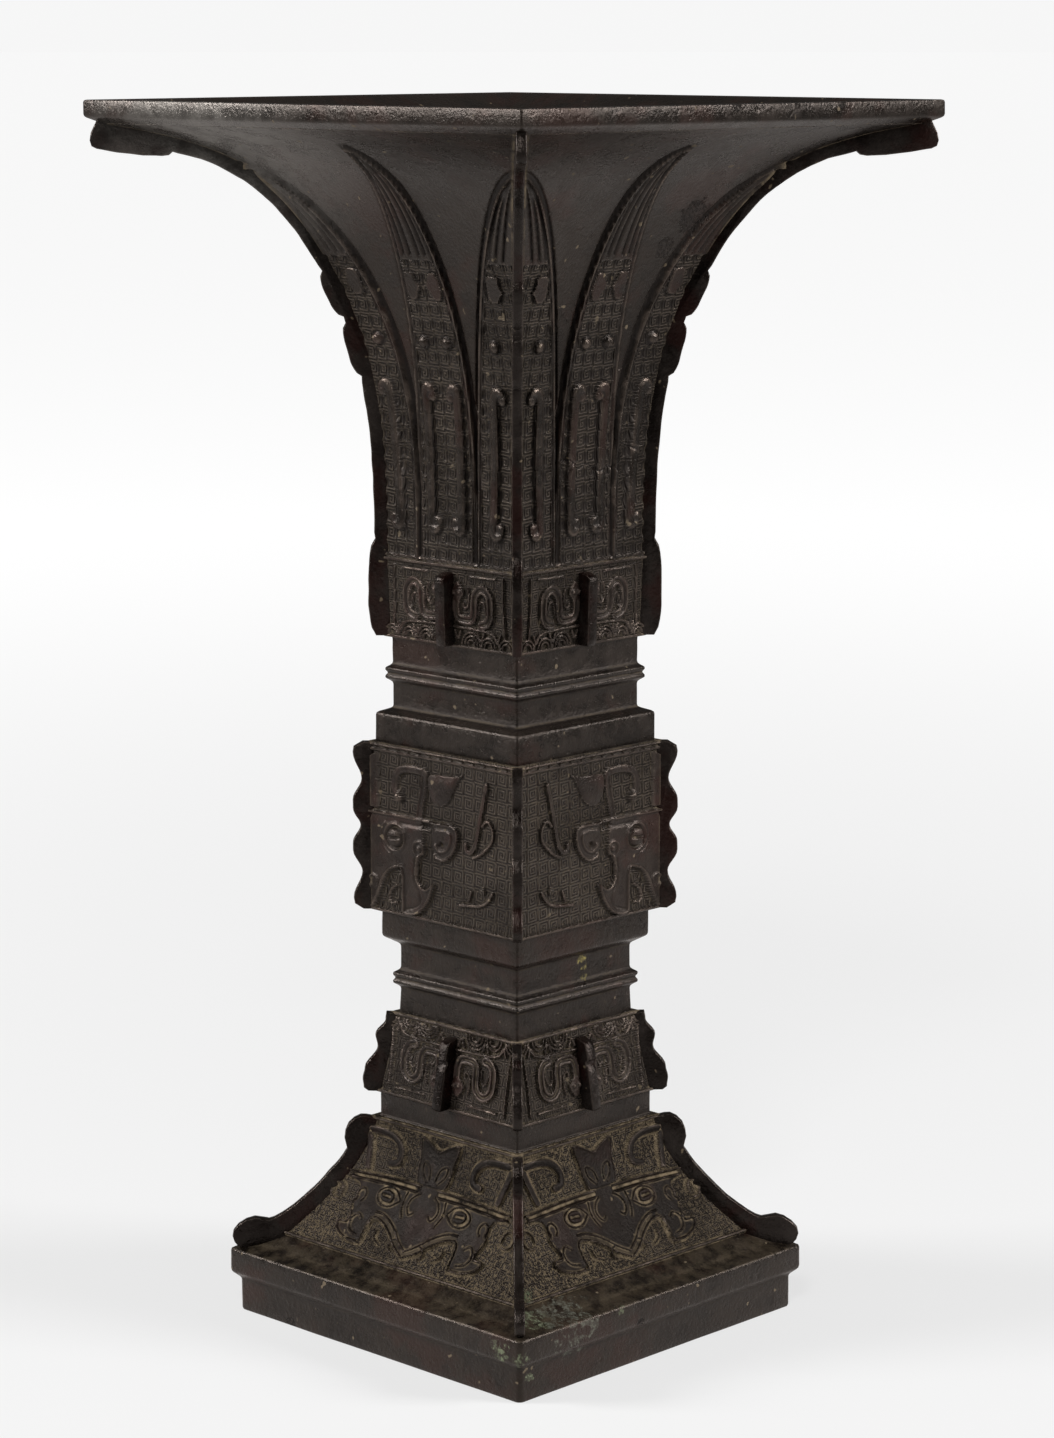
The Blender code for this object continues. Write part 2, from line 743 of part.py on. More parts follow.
def flange_solids(home):
    """Scalloped flanges at the corners and short ones in the middle of the bands."""
    thick = corner_flange_thick / 2
    outlines = [trumpet_flange(), block_flange(), lower_band_flange(), foot_flange()]
    made = []
    for index, outline in enumerate(outlines):
        flange = outline_solid(f"corner_flange_{index}", [outline], -thick, thick, home)
        made.append(all_corners(flange, home))
    upper = middle_flange(trumpet_low - middle_flange_gap, upper_band_low + panel_step,
                          upper_band_top_half, upper_band_low_half, [])
    lower = middle_flange(lower_band_top - middle_flange_gap, lower_band_low + panel_step,
                          lower_band_top_half, lower_band_low_half, [0.66])
    thick = middle_flange_thick / 2
    for index, outline in enumerate([upper, lower]):
        flange = outline_solid(f"middle_flange_{index}", [outline], -thick, thick, home)
        flange.data.transform(Matrix.Rotation(-math.pi / SIDES, 4, "Z"))
        made.append(all_corners(flange, home))
    return made


def build():
    """Make the vase in one solid."""
    clear_scene()
    home = new_collection("gu_vase")
    helpers = new_collection("helpers")
    vase = turned_square("gu_vase", inner_line() + outer_line() + foot_inner_line(), False, home)
    for solid in relief_solids(helpers) + flange_solids(helpers):
        combine(vase, solid, "UNION")
    for helper in list(helpers.objects):
        bpy.data.objects.remove(helper, do_unlink=True)
    vase.data.materials.clear()
    vase.data.materials.append(bronze_material())


build()
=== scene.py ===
"""Looks of the square bronze gu vase: cast relief, patina, floor, light and camera."""

import math

import bmesh
import bpy
import numpy as np
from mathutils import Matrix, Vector


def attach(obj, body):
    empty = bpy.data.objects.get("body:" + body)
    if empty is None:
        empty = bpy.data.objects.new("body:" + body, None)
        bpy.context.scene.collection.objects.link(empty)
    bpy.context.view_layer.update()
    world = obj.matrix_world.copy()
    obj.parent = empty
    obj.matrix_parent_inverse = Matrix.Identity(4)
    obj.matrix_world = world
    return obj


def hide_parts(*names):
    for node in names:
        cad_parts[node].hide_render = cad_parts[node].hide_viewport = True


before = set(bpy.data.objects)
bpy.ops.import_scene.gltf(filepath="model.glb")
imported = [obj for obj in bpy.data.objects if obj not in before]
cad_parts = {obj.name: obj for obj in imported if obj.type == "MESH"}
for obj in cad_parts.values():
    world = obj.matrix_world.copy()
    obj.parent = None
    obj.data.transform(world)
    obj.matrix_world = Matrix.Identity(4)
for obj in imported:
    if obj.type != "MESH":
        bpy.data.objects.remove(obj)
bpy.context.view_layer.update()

BODY = "root"
NODE = "gu_vase"

# drawings below are in millimetres; "half" is the distance from the axis to a flat side
MM = 0.001

# heights and half widths, from the rim down
RIM_TOP = 400.0
RIM_LOW = 394.7
RIM_HALF = 96.8
FLARE_TOP = 392.5
FLARE_TOP_HALF = 92.5
FLARE_LOW = 254.5
THROAT_HALF = 29.7
FLARE_REACH = 38.8
FLARE_POWER = 3.0
LIP_POWER = 20.0
BAND_LOW = 228.0
BAND_TOP_HALF = 30.4
BAND_LOW_HALF = 29.7
NECK_HALF = 28.3
BLOCK_TOP = 203.0
BLOCK_TOP_HALF = 32.4
PANEL_TOP = 193.6
PANEL_LOW = 137.3
PANEL_HALF = 33.8
BLOCK_LOW = 128.2
BLOCK_LOW_HALF = 31.2
LOWER_NECK_HALF = 26.9
LOWER_TOP = 102.6
LOWER_LOW = 75.3
LOWER_TOP_HALF = 28.5
LOWER_LOW_HALF = 32.7
STRIP_HALF = 31.8
FOOT_TOP = 67.2
FOOT_LOW = 26.2
FOOT_TOP_HALF = 33.6
FOOT_LOW_HALF = 55.6
FOOT_POWER = 1.6
SLAB_TOP = 21.4
SLAB_LOW = 13.5
SLAB_HALF = 67.8
BASE_TOP = 11.2
BASE_HALF = 65.3
WALL = 3.4
LIP_WIDTH = 4.0
BASE_WIDTH = 5.0
FLOOR_TOP = 131.5
FLOOR_UNDER = 127.0
CORE_MIDDLE = 0.5

# the panels are skins laid over the core
SKIN_DEPTH = 2.2
CORE_SINK = 1.25

ROOT_TWO = math.sqrt(2.0)

FLANGE_THICK = 3.3
FLANGE_SINK = 3.0
FLANGE_BEVEL = 0.45
MIDDLE_FLANGE_THICK = 4.2
MIDDLE_FLANGE_REACH = 4.6
SLAB_ROUND = 1.9
EDGE_ROUND = 0.8

# cells of the fine ground, (across, along)
LEAF_CELL = (4.6, 5.3)
BAND_CELL = (4.0, 4.0)
PANEL_CELL = (4.9, 4.9)
FOOT_CELL = (3.4, 3.4)


# curves and distances, all in millimetres

def smooth(edge_low, edge_high, value):
    """Ease from 0 at one edge to 1 at the other."""
    share = np.clip((value - edge_low) / (edge_high - edge_low), 0.0, 1.0)
    return share * share * (3.0 - 2.0 * share)


def rounded_path(points, rounds=2, closed=False):
    """Cut the corners of a path until it runs as a curve."""
    path = [np.array(point, float) for point in points]
    for _ in range(rounds):
        cut = []
        count = len(path) if closed else len(path) - 1
        for index in range(count):
            here = path[index]
            after = path[(index + 1) % len(path)]
            cut.append(here * 0.75 + after * 0.25)
            cut.append(here * 0.25 + after * 0.75)
        if not closed:
            cut = [path[0]] + cut[1:-1] + [path[-1]]
        path = cut
    return path


def distance_to(across, along, path):
    """Distance of every point of a grid from a path."""
    nearest = np.full(across.shape, 1e9)
    for start, end in zip(path, path[1:]):
        run = end - start
        length = max(float(run @ run), 1e-9)
        share = np.clip(((across - start[0]) * run[0] + (along - start[1]) * run[1]) / length, 0.0, 1.0)
        gap = (across - start[0] - share * run[0]) ** 2 + (along - start[1] - share * run[1]) ** 2
        np.minimum(nearest, gap, out=nearest)
    return np.sqrt(nearest)


def inside_of(across, along, outline):
    """True where a point of a grid lies in a closed outline."""
    within = np.zeros(across.shape, bool)
    for start, end in zip(outline, outline[1:] + outline[:1]):
        if start[1] == end[1]:
            continue
        crosses = (start[1] > along) != (end[1] > along)
        reach = (end[0] - start[0]) * (along - start[1]) / (end[1] - start[1]) + start[0]
        within ^= crosses & (across < reach)
    return within


def depth_in(across, along, outline):
    """Distance inside a closed outline, negative outside it."""
    edge = distance_to(across, along, outline + outline[:1])
    return np.where(inside_of(across, along, outline), edge, -edge)


class Relief:
    """Height of the carving of one side, as a grid of millimetres above the plain surface."""

    def __init__(self, across, along, levels, fine):
        self.across = across
        self.along = along
        self.levels = levels
        self.fine = fine
        self.place = half_of_side(1.0)
        self.height = np.zeros(across.shape)
        self.ground = np.zeros(across.shape)
        self.shade = np.zeros(across.shape)

    def at(self, points):
        """Turn drawn (across, level) points into (across, distance along the surface)."""
        spots = []
        for point in points:
            across, level = self.place(*point)
            spots.append(np.array((across, np.interp(level, self.levels[0], self.levels[1]))))
        return spots

    def cover(self, share, top):
        """Lay a raised shape over what is there."""
        self.height = self.height * (1.0 - share) + top * share
        self.ground *= 1.0 - share
        self.shade *= 1.0 - share

    def plate(self, points, rise, slope=0.6, rounds=2, crown=0.0):
        """A raised plate with sloping edges."""
        depth = depth_in(self.across, self.along, rounded_path(self.at(points), rounds, closed=True))
        self.cover(smooth(-slope * 0.4, slope * 0.6, depth), rise + crown * smooth(0.0, 3.0, depth))

    def ridge(self, points, width, rise, slope=0.45, rounds=2, crown=0.15):
        """A raised band that follows a path."""
        gap = distance_to(self.across, self.along, rounded_path(self.at(points), rounds))
        top = rise + crown * (1.0 - np.clip(gap / (width / 2), 0.0, 1.0) ** 2)
        self.cover(1.0 - smooth(width / 2 - slope * 0.5, width / 2 + slope * 0.5, gap), top)

    def groove(self, points, width, depth, rounds=2):
        """A cut line that follows a path."""
        gap = distance_to(self.across, self.along, rounded_path(self.at(points), rounds))
        self.height -= depth * np.exp(-(gap / (width * 0.55)) ** 2)

    def ring(self, centre, radius, width, rise):
        """A raised ring or, at radius 0, a round boss."""
        spot = self.at([centre])[0]
        gap = np.hypot(self.across - spot[0], self.along - spot[1])
        self.height += rise * np.exp(-((gap - radius) / (width * 0.6)) ** 2)

    def boss(self, centre, radius, rise):
        """A domed boss."""
        spot = self.at([centre])[0]
        gap = np.hypot(self.across - spot[0], self.along - spot[1])
        dome = np.sqrt(np.clip(1.0 - (gap / radius) ** 2, 0.0, 1.0))
        self.height += rise * dome


def cell_pits(across, along, cell, size):
    """Soft hollows in the middle of the ground's cells, from 0 to 1."""
    column = across / cell[0] - np.floor(across / cell[0]) - 0.5
    row = along / cell[1] - np.floor(along / cell[1]) - 0.5
    reach = np.maximum(np.abs(column) * cell[0], np.abs(row) * cell[1])
    return np.exp(-(reach / size) ** 4)


def lumps(across, along, size, seed):
    """Soft seeded unevenness between -1 and 1."""
    rng = np.random.default_rng(seed)
    total = np.zeros(across.shape)
    for _ in range(9):
        turn = rng.uniform(0.0, 2.0 * np.pi)
        length = size * rng.uniform(0.6, 1.9)
        shift = rng.uniform(0.0, 2.0 * np.pi)
        run = across * math.cos(turn) + along * math.sin(turn)
        total += np.sin(run * 2.0 * np.pi / length + shift)
    return total / 4.5


# outside profiles

def flare_half(level):
    """Half width of the flared mouth at a height."""
    rise = np.clip((level - FLARE_LOW) / (FLARE_TOP - FLARE_LOW), 0.0, 1.0)
    lip_reach = FLARE_TOP_HALF - THROAT_HALF - FLARE_REACH
    return THROAT_HALF + FLARE_REACH * rise ** FLARE_POWER + lip_reach * rise ** LIP_POWER


def band_half(level):
    """Half width of the upper band."""
    return np.interp(level, (BAND_LOW, FLARE_LOW), (BAND_LOW_HALF, BAND_TOP_HALF))


def panel_half(level):
    """Half width of the mask panel."""
    return np.full(np.shape(level), PANEL_HALF)


def lower_half(level):
    """Half width of the lower band."""
    return np.interp(level, (LOWER_LOW, LOWER_TOP), (LOWER_LOW_HALF, LOWER_TOP_HALF))


def foot_half(level):
    """Half width of the flared foot panel."""
    drop = np.clip((FOOT_TOP - level) / (FOOT_TOP - FOOT_LOW), 0.0, 1.0)
    return FOOT_TOP_HALF + (FOOT_LOW_HALF - FOOT_TOP_HALF) * drop ** FOOT_POWER


def profile_points(half_at, low, top, count):
    """(half, level) points of a profile, from top to bottom."""
    return [(float(half_at(level)), float(level)) for level in np.linspace(top, low, count)]


def sunk_points(half_at, low, top, count):
    """Points of a profile, sunk below the skin that lies over it."""
    return [(half - CORE_SINK, level) for half, level in profile_points(half_at, low, top, count)]


def ring_points(level, edge_half, root_half):
    """A raised ring with two edges and a waist, from top to bottom."""
    return [
        (root_half, level + 3.0),
        (edge_half, level + 1.7),
        (edge_half, level + 0.9),
        (edge_half - 0.7, level),
        (edge_half, level - 0.9),
        (edge_half, level - 1.7),
        (root_half, level - 3.0),
    ]


def outer_points():
    """Plain outside of the core, from the rim to the bottom; the panels lie a little below their skins."""
    points = [(RIM_HALF, RIM_TOP), (RIM_HALF, RIM_LOW), (FLARE_TOP_HALF, FLARE_TOP)]
    points += sunk_points(flare_half, FLARE_LOW, FLARE_TOP - 0.6, 60)
    points += sunk_points(band_half, BAND_LOW, FLARE_LOW, 3)
    points.append((NECK_HALF, BAND_LOW - 1.2))
    points += ring_points(216.0, 30.1, NECK_HALF)
    points += [(NECK_HALF, BLOCK_TOP + 1.6), (BLOCK_TOP_HALF, BLOCK_TOP), (BLOCK_TOP_HALF, PANEL_TOP - 0.6)]
    block_half = PANEL_HALF - CORE_SINK - 1.2
    points += [(block_half, PANEL_TOP - 2.0), (block_half, PANEL_LOW + 2.0)]
    points += [(BLOCK_LOW_HALF, PANEL_LOW + 0.6), (BLOCK_LOW_HALF, BLOCK_LOW)]
    points.append((LOWER_NECK_HALF, BLOCK_LOW - 2.7))
    points += ring_points(114.0, 28.8, LOWER_NECK_HALF)
    points.append((LOWER_NECK_HALF + 0.3, LOWER_TOP + 0.4))
    points += sunk_points(lower_half, LOWER_LOW, LOWER_TOP, 3)
    points += [(STRIP_HALF, LOWER_LOW - 0.4), (STRIP_HALF, FOOT_TOP + 0.4)]
    points += sunk_points(foot_half, FOOT_LOW, FOOT_TOP, 24)
    points += [(FOOT_LOW_HALF, FOOT_LOW - 0.5), (61.6, 22.8), (SLAB_HALF, SLAB_TOP)]
    points += [(SLAB_HALF, SLAB_LOW), (BASE_HALF, BASE_TOP), (BASE_HALF, 0.0)]
    return points


def inner_points():
    """Inside of the mouth, from the middle of the floor up to the rim."""
    points = [(CORE_MIDDLE, FLOOR_TOP), (BLOCK_LOW_HALF - WALL, FLOOR_TOP)]
    points.append((BLOCK_LOW_HALF - WALL, PANEL_LOW + 1.4))
    points += [(PANEL_HALF - WALL, PANEL_LOW + WALL), (PANEL_HALF - WALL, PANEL_TOP - 1.4)]
    points += [(NECK_HALF - WALL, BLOCK_TOP - 2.0), (NECK_HALF - WALL, BAND_LOW + 1.0)]
    points.append((BAND_LOW_HALF - WALL, BAND_LOW + WALL))
    points += reversed(moved_out(profile_points(flare_half, FLARE_LOW, FLARE_TOP, 40), -WALL)[1:])
    points.append((RIM_HALF - LIP_WIDTH, RIM_TOP))
    return points


def under_points():
    """Inside of the foot, from the bottom up to the middle of its closed top."""
    points = [(BASE_HALF - BASE_WIDTH, 0.0), (BASE_HALF - BASE_WIDTH, BASE_TOP + 2.0)]
    points += reversed(moved_out(profile_points(foot_half, FOOT_LOW, FOOT_TOP, 16), -WALL))
    points += [(LOWER_LOW_HALF - WALL - 0.6, LOWER_LOW + 1.0), (LOWER_NECK_HALF - WALL, LOWER_TOP)]
    points += [(LOWER_NECK_HALF - WALL, FLOOR_UNDER), (CORE_MIDDLE, FLOOR_UNDER)]
    return points


def moved_out(points, distance):
    """Move a line that runs downwards outwards along its normals."""
    spots = np.array(points)
    run = np.gradient(spots, axis=0)
    run /= np.linalg.norm(run, axis=1)[:, None]
    moved = spots + np.stack([-run[:, 1], run[:, 0]], axis=1) * distance
    return [tuple(spot) for spot in moved]


def eased_corners(points, radius):
    """Round the corners of a profile a little."""
    spots = [np.array(point, float) for point in points]
    eased = [spots[0]]
    for before, here, after in zip(spots, spots[1:], spots[2:]):
        into = here - before
        out = after - here
        reach = min(radius, 0.4 * np.linalg.norm(into), 0.4 * np.linalg.norm(out))
        start = here - into / max(np.linalg.norm(into), 1e-6) * reach
        end = here + out / max(np.linalg.norm(out), 1e-6) * reach
        eased += [start, (start + end + 2.0 * here) / 4.0, end]
    return eased + [spots[-1]]


def with_steps(points, longest):
    """Put extra points on the long straights of a profile."""
    filled = [points[0]]
    for before, here in zip(points, points[1:]):
        pieces = max(1, int(math.ceil(np.linalg.norm(here - before) / longest)))
        for step in range(1, pieces + 1):
            filled.append(before + (here - before) * step / pieces)
    return filled


# meshes

def new_object(name, points, faces, marks=None):
    """Make a closed mesh object from millimetre points and faces, facing outwards."""
    mesh = bpy.data.meshes.new(name)
    mesh.from_pydata([], [], [])
    mesh.vertices.add(len(points))
    mesh.vertices.foreach_set("co", (np.asarray(points, float) * MM).ravel())
    sizes = np.array([len(face) for face in faces], np.int32)
    starts = np.concatenate(([0], np.cumsum(sizes)[:-1])).astype(np.int32)
    mesh.loops.add(int(sizes.sum()))
    mesh.loops.foreach_set("vertex_index", np.concatenate(faces).astype(np.int32))
    mesh.polygons.add(len(faces))
    mesh.polygons.foreach_set("loop_start", starts)
    mesh.update(calc_edges=True)
    if mesh.validate():
        print("mesh mended:", name)
    if enclosed_volume(mesh) < 0.0:
        mesh.flip_normals()
    for mark, values in (marks or {}).items():
        layer = mesh.attributes.new(mark, "FLOAT", "POINT")
        layer.data.foreach_set("value", np.asarray(values, np.float32))
    mesh.polygons.foreach_set("use_smooth", np.ones(len(mesh.polygons), bool))
    mesh.set_sharp_from_angle(angle=math.radians(48.0))
    made = bpy.data.objects.new(name, mesh)
    bpy.context.scene.collection.objects.link(made)
    return made


def enclosed_volume(mesh):
    """Signed volume of a closed mesh."""
    mesh.calc_loop_triangles()
    corners = np.empty(len(mesh.loop_triangles) * 3, np.int32)
    mesh.loop_triangles.foreach_get("vertices", corners)
    spots = np.empty(len(mesh.vertices) * 3)
    mesh.vertices.foreach_get("co", spots)
    a, b, c = np.moveaxis(spots.reshape(-1, 3)[corners.reshape(-1, 3)], 1, 0)
    return float(np.einsum("ij,ij->i", a, np.cross(b, c)).sum()) / 6.0


def grid_faces(rows, columns, first=0):
    """Quads of a grid of points that is stored row by row."""
    row, column = np.meshgrid(np.arange(rows - 1), np.arange(columns - 1), indexing="ij")
    corner = (first + row * columns + column).ravel()
    return np.stack([corner, corner + 1, corner + columns + 1, corner + columns], axis=1)


def square_ring(half, corner_radius, straight, arc):
    """Points round a square with rounded corners."""
    reach = min(corner_radius, half * 0.5)
    spots = []
    for side in range(4):
        turn = side * math.pi / 2
        local = [(share * (half - reach), -half) for share in np.linspace(-1.0, 1.0, straight)]
        for step in range(1, arc):
            angle = -math.pi / 2 + math.pi / 2 * step / arc
            local.append((half - reach + reach * math.cos(angle), -half + reach + reach * math.sin(angle)))
        for x, y in local:
            spots.append((x * math.cos(turn) - y * math.sin(turn), x * math.sin(turn) + y * math.cos(turn)))
    return spots


def corner_round(level):
    """Radius of the upright corners of the core; the slab and the foot rim are worn rounder."""
    return SLAB_ROUND if level < FOOT_LOW - 1.0 else EDGE_ROUND


def turned_core(line, straight, arc):
    """Carry a rounded square along a profile and close both ends."""
    points = []
    for half, level in line:
        points += [(x, y, level) for x, y in square_ring(half, corner_round(level), straight, arc)]
    around = 4 * (straight + arc - 1)
    faces = []
    for row in range(len(line) - 1):
        base = row * around
        for column in range(around):
            after = (column + 1) % around
            faces.append((base + column, base + after, base + around + after, base + around + column))
    faces.append(tuple(range(around - 1, -1, -1)))
    last = (len(line) - 1) * around
    faces.append(tuple(last + column for column in range(around)))
    return points, faces


def softened(grid, rounds):
    """Average a grid of heights with its neighbours."""
    soft = grid.copy()
    for _ in range(rounds):
        padded = np.pad(soft, 1, mode="edge")
        beside = padded[:-2, 1:-1] + padded[2:, 1:-1] + padded[1:-1, :-2] + padded[1:-1, 2:]
        soft = (beside + soft * 2.0) / 6.0
    return soft


# how the drawing for the -Y side is laid on the four sides: -Y, +X, +Y and -X
MIRROR = np.array(((0.0, -1.0, 0.0), (-1.0, 0.0, 0.0), (0.0, 0.0, 1.0)))
HALF_TURN = np.diag((-1.0, -1.0, 1.0))
SIDE_PLACES = (np.eye(3), MIRROR, HALF_TURN, HALF_TURN @ MIRROR)
SIDE_NAMES = ("left", "right", "back_right", "back_left")


# rows above the carving lie this many times farther apart
PLAIN_STRETCH = 3.0

# what counts as fully hollow or fully raised, against the softened surface
SOFT_ROUNDS = 8
FULL_HOLLOW = 0.26
FULL_CREST = 0.30

# dirt beside the corner flanges, more of it high under the rim, and at a panel's top and bottom; the same
# amounts also paint shade there, as black through the hollow mark
CORNER_DUST_AND_SHADE = 0.30
RIM_CORNER_DUST_AND_SHADE = 0.7
CORNER_DUST_AND_SHADE_REACH = 0.8
EDGE_DUST_AND_SHADE = 0.25
EDGE_DUST_AND_SHADE_REACH = 0.5


def skin(name, side, half_at, low, top, spacing, columns_at, draw, cell, dirt, plain_from=1e9):
    """One side of a panel as a closed skin that carries its relief."""
    fine = np.linspace(low, top, 1500)
    halves = half_at(fine)
    run = np.concatenate(([0.0], np.cumsum(np.hypot(np.diff(halves), np.diff(fine)))))
    carved = float(np.interp(plain_from, fine, run))
    along = np.linspace(0.0, carved, int(carved / spacing) + 1)
    if carved < run[-1]:
        rest = np.linspace(carved, run[-1], int((run[-1] - carved) / spacing / PLAIN_STRETCH) + 2)
        along = np.concatenate([along, rest[1:]])
    rows = len(along)
    level = np.interp(along, run, fine)
    half = np.interp(along, run, halves)
    out_half = np.gradient(level, along)
    out_level = -np.gradient(half, along)
    across = np.array([columns_at(value, side < 2) for value in half])
    columns = across.shape[1]
    relief = Relief(across, np.repeat(along[:, None], columns, axis=1), (fine, run), side < 2)
    draw(relief, side)
    height = relief.height
    distance = half[:, None] + height * out_half[:, None]
    outer_level = level[:, None] + height * out_level[:, None]
    outer = np.stack([across * distance / half[:, None], -distance, outer_level], axis=2)
    inner_half = half - SKIN_DEPTH * out_half
    inner_level = level - SKIN_DEPTH * out_level
    inner = np.stack([np.stack([-inner_half, -inner_half, inner_level], axis=1),
                      np.stack([inner_half, -inner_half, inner_level], axis=1)], axis=1)
    points = np.concatenate([outer.reshape(-1, 3), inner.reshape(-1, 3)]) @ SIDE_PLACES[side].T
    count = rows * columns
    faces = list(grid_faces(rows, columns))
    for row in range(rows - 1):
        here = count + row * 2
        faces.append((here, here + 2, here + 3, here + 1))
        faces.append((row * columns, (row + 1) * columns, here + 2, here))
        right = row * columns + columns - 1
        faces.append((right, here + 1, here + 3, right + columns))
    faces.append(tuple(range(columns - 1, -1, -1)) + (count, count + 1))
    faces.append(tuple(range((rows - 1) * columns, count)) + (count + rows * 2 - 1, count + rows * 2 - 2))
    soft = softened(height, SOFT_ROUNDS)
    corner_gap = half[:, None] - np.abs(across) - FLANGE_THICK / ROOT_TWO
    edge_gap = np.minimum(along, run[-1] - along)[:, None]
    # dust and painted shade: tan dust and black shade beside the flanges, under the rim and at the panel edges
    corner_dust_and_shade = (CORNER_DUST_AND_SHADE + RIM_CORNER_DUST_AND_SHADE * smooth(350.0, 386.0, level))[:, None]
    dust_and_shade = corner_dust_and_shade * np.exp(-np.clip(corner_gap, 0.0, None) / CORNER_DUST_AND_SHADE_REACH)
    dust_and_shade = dust_and_shade + EDGE_DUST_AND_SHADE * np.exp(-edge_gap / EDGE_DUST_AND_SHADE_REACH)
    hollow = np.clip((soft - height) / FULL_HOLLOW, 0.0, 1.0)
    crest = np.clip((height - soft) / FULL_CREST, 0.0, 1.0)
    # the hollow mark carries painted shade: it darkens hollows, cell pits, the strips beside the corner
    # flanges and the panel edges towards black
    values = {
        "hollow": np.clip(hollow + dust_and_shade + relief.shade, 0.0, 1.0),
        "dust": np.clip(hollow * dirt + dust_and_shade, 0.0, 1.0),
        "crest": crest,
        "ground": relief.ground,
        "cell_across": across / cell[0],
        "cell_along": relief.along / cell[1],
    }
    inside = np.zeros(rows * 2)
    marks = {mark: np.concatenate([value.ravel(), inside]) for mark, value in values.items()}
    return new_object(f"{name}_{SIDE_NAMES[side]}", points, faces, marks)


# drawings of the relief, for the half of a side at positive across unless said otherwise

LEAF_LOW = 257.5
LEAF_SPAN = 129.5
LEAF_HALF = 12.8
HALF_LEAF_SPAN = 122.5
HALF_LEAF_WIDTH = 16.9
LEAF_RUN_ON = 6.0
LEAF_RISE = 1.2
LEAF_CUT = 1.05
GROUND_TOP = 352.0
GROUND_SINK = 0.45
PIT_SINK = 0.30
LINES_LOW = 353.5

BAR = [(3.9, 308.2), (4.2, 311.0), (6.6, 311.3), (6.5, 306.0), (6.4, 270.0), (6.5, 265.4), (4.2, 265.3)]
BAR += [(3.8, 268.2)]
SIDE_BAR = [(25.6, 308.6), (25.0, 311.1), (22.5, 311.3), (22.0, 306.0), (19.9, 270.0), (19.7, 265.4)]
SIDE_BAR += [(22.0, 265.2), (22.5, 267.8)]
HORN = [(7.3, 348.0), (3.2, 348.0), (3.0, 345.8), (1.5, 344.3), (1.5, 342.7), (3.0, 341.3), (3.4, 339.0)]
HORN += [(7.3, 339.0)]
SIDE_HORN = [(28.0, 348.0), (33.4, 348.2), (32.6, 345.0), (34.0, 342.8), (31.8, 341.2), (30.8, 339.0)]
SIDE_HORN += [(27.0, 339.8), (27.4, 343.4)]
BAR_WIDTH = 3.2
KNOB_WIDTH = 3.5
EYE_LEVEL = 325.3

REPAIR_CRACKS = (
    ((-15.0, 283.6), (-9.4, 285.2), (-5.0, 283.8), (-1.2, 286.6), (3.4, 285.4), (8.2, 288.8), (13.6, 288.0)),
    ((-3.6, 285.0), (-2.2, 281.2), (-3.8, 277.6)),
    ((6.4, 287.6), (8.8, 282.4), (8.2, 279.0)),
    ((-26.0, 291.2), (-21.4, 289.6), (-17.8, 291.4)),
)


def flip(points):
    """The same points on the other side of the middle."""
    return [(-across, level) for across, level in points]


def half_of_side(turn):
    """Place drawn points on one half of a side; turn is 1 at positive across and -1 at negative."""
    return lambda across, level: (turn * across, level)


def arc_points(centre, radius, start, end, steps=8):
    """Points round an arc, with its angles in degrees."""
    angles = np.radians(np.linspace(start, end, steps))
    return [(centre[0] + radius * math.cos(angle), centre[1] + radius * math.sin(angle)) for angle in angles]


def leaf_half_at(level):
    """Half width of the middle leaf at a height."""
    share = min(max((level - LEAF_LOW) / LEAF_SPAN, 0.0), 1.0)
    return LEAF_HALF * math.sqrt(1.0 - share * share)


def corner_leaf_at(level):
    """Width of a corner leaf on one side of its corner at a height."""
    share = min(max((level - LEAF_LOW) / HALF_LEAF_SPAN, 0.0), 1.0)
    return HALF_LEAF_WIDTH * math.sqrt(1.0 - share ** 6)


def leaf_levels(span):
    """Heights up a leaf, closer together towards its tip."""
    return [LEAF_LOW + span * math.sin(math.pi / 2 * step / 28) for step in range(29)]


def fill_leaf(relief, outline, foot):
    """Raised leaf with a groove round it and a sunken ground; foot is its two lowest corners."""
    ends = [np.array((across, -LEAF_RUN_ON)) for across in foot]
    depth = depth_in(relief.across, relief.along, ends[:1] + relief.at(outline) + ends[1:])
    level = np.interp(relief.along, relief.levels[1], relief.levels[0])
    cut = LEAF_CUT - 0.55 * smooth(335.0, 384.0, level)
    relief.height -= cut * np.exp(-((depth + 0.75) / 0.62) ** 2)
    body = smooth(-0.15, 0.35, depth)
    inside = smooth(1.9, 2.3, depth) * (1.0 - smooth(GROUND_TOP - 1.0, GROUND_TOP, level))
    pits = cell_pits(relief.across + LEAF_CELL[0] / 2, relief.along, LEAF_CELL, 1.35)
    top = LEAF_RISE - GROUND_SINK * inside - PIT_SINK * inside * pits
    top -= 0.50 * np.exp(-((depth - 1.5) / 0.34) ** 2)
    relief.height = relief.height * (1.0 - body) + top * body
    relief.ground = relief.ground * (1.0 - body) + inside * body
    relief.shade = relief.shade * (1.0 - body) + 0.95 * inside * pits * body


def tip_lines(relief):
    """Cut lines that run up into the tips of the leaves."""
    for share in (0.22, 0.55):
        path = [(share * leaf_half_at(z), z) for z in np.linspace(LINES_LOW, 385.5, 12)]
        relief.groove(path, 1.0, 0.75, rounds=0)
    for share in (0.40, 0.62, 0.82):
        path = []
        for z in np.linspace(LINES_LOW - 0.5, 378.5, 12):
            path.append((float(flare_half(z)) - share * corner_leaf_at(z), z))
        relief.groove(path, 1.0, 0.7, rounds=0)


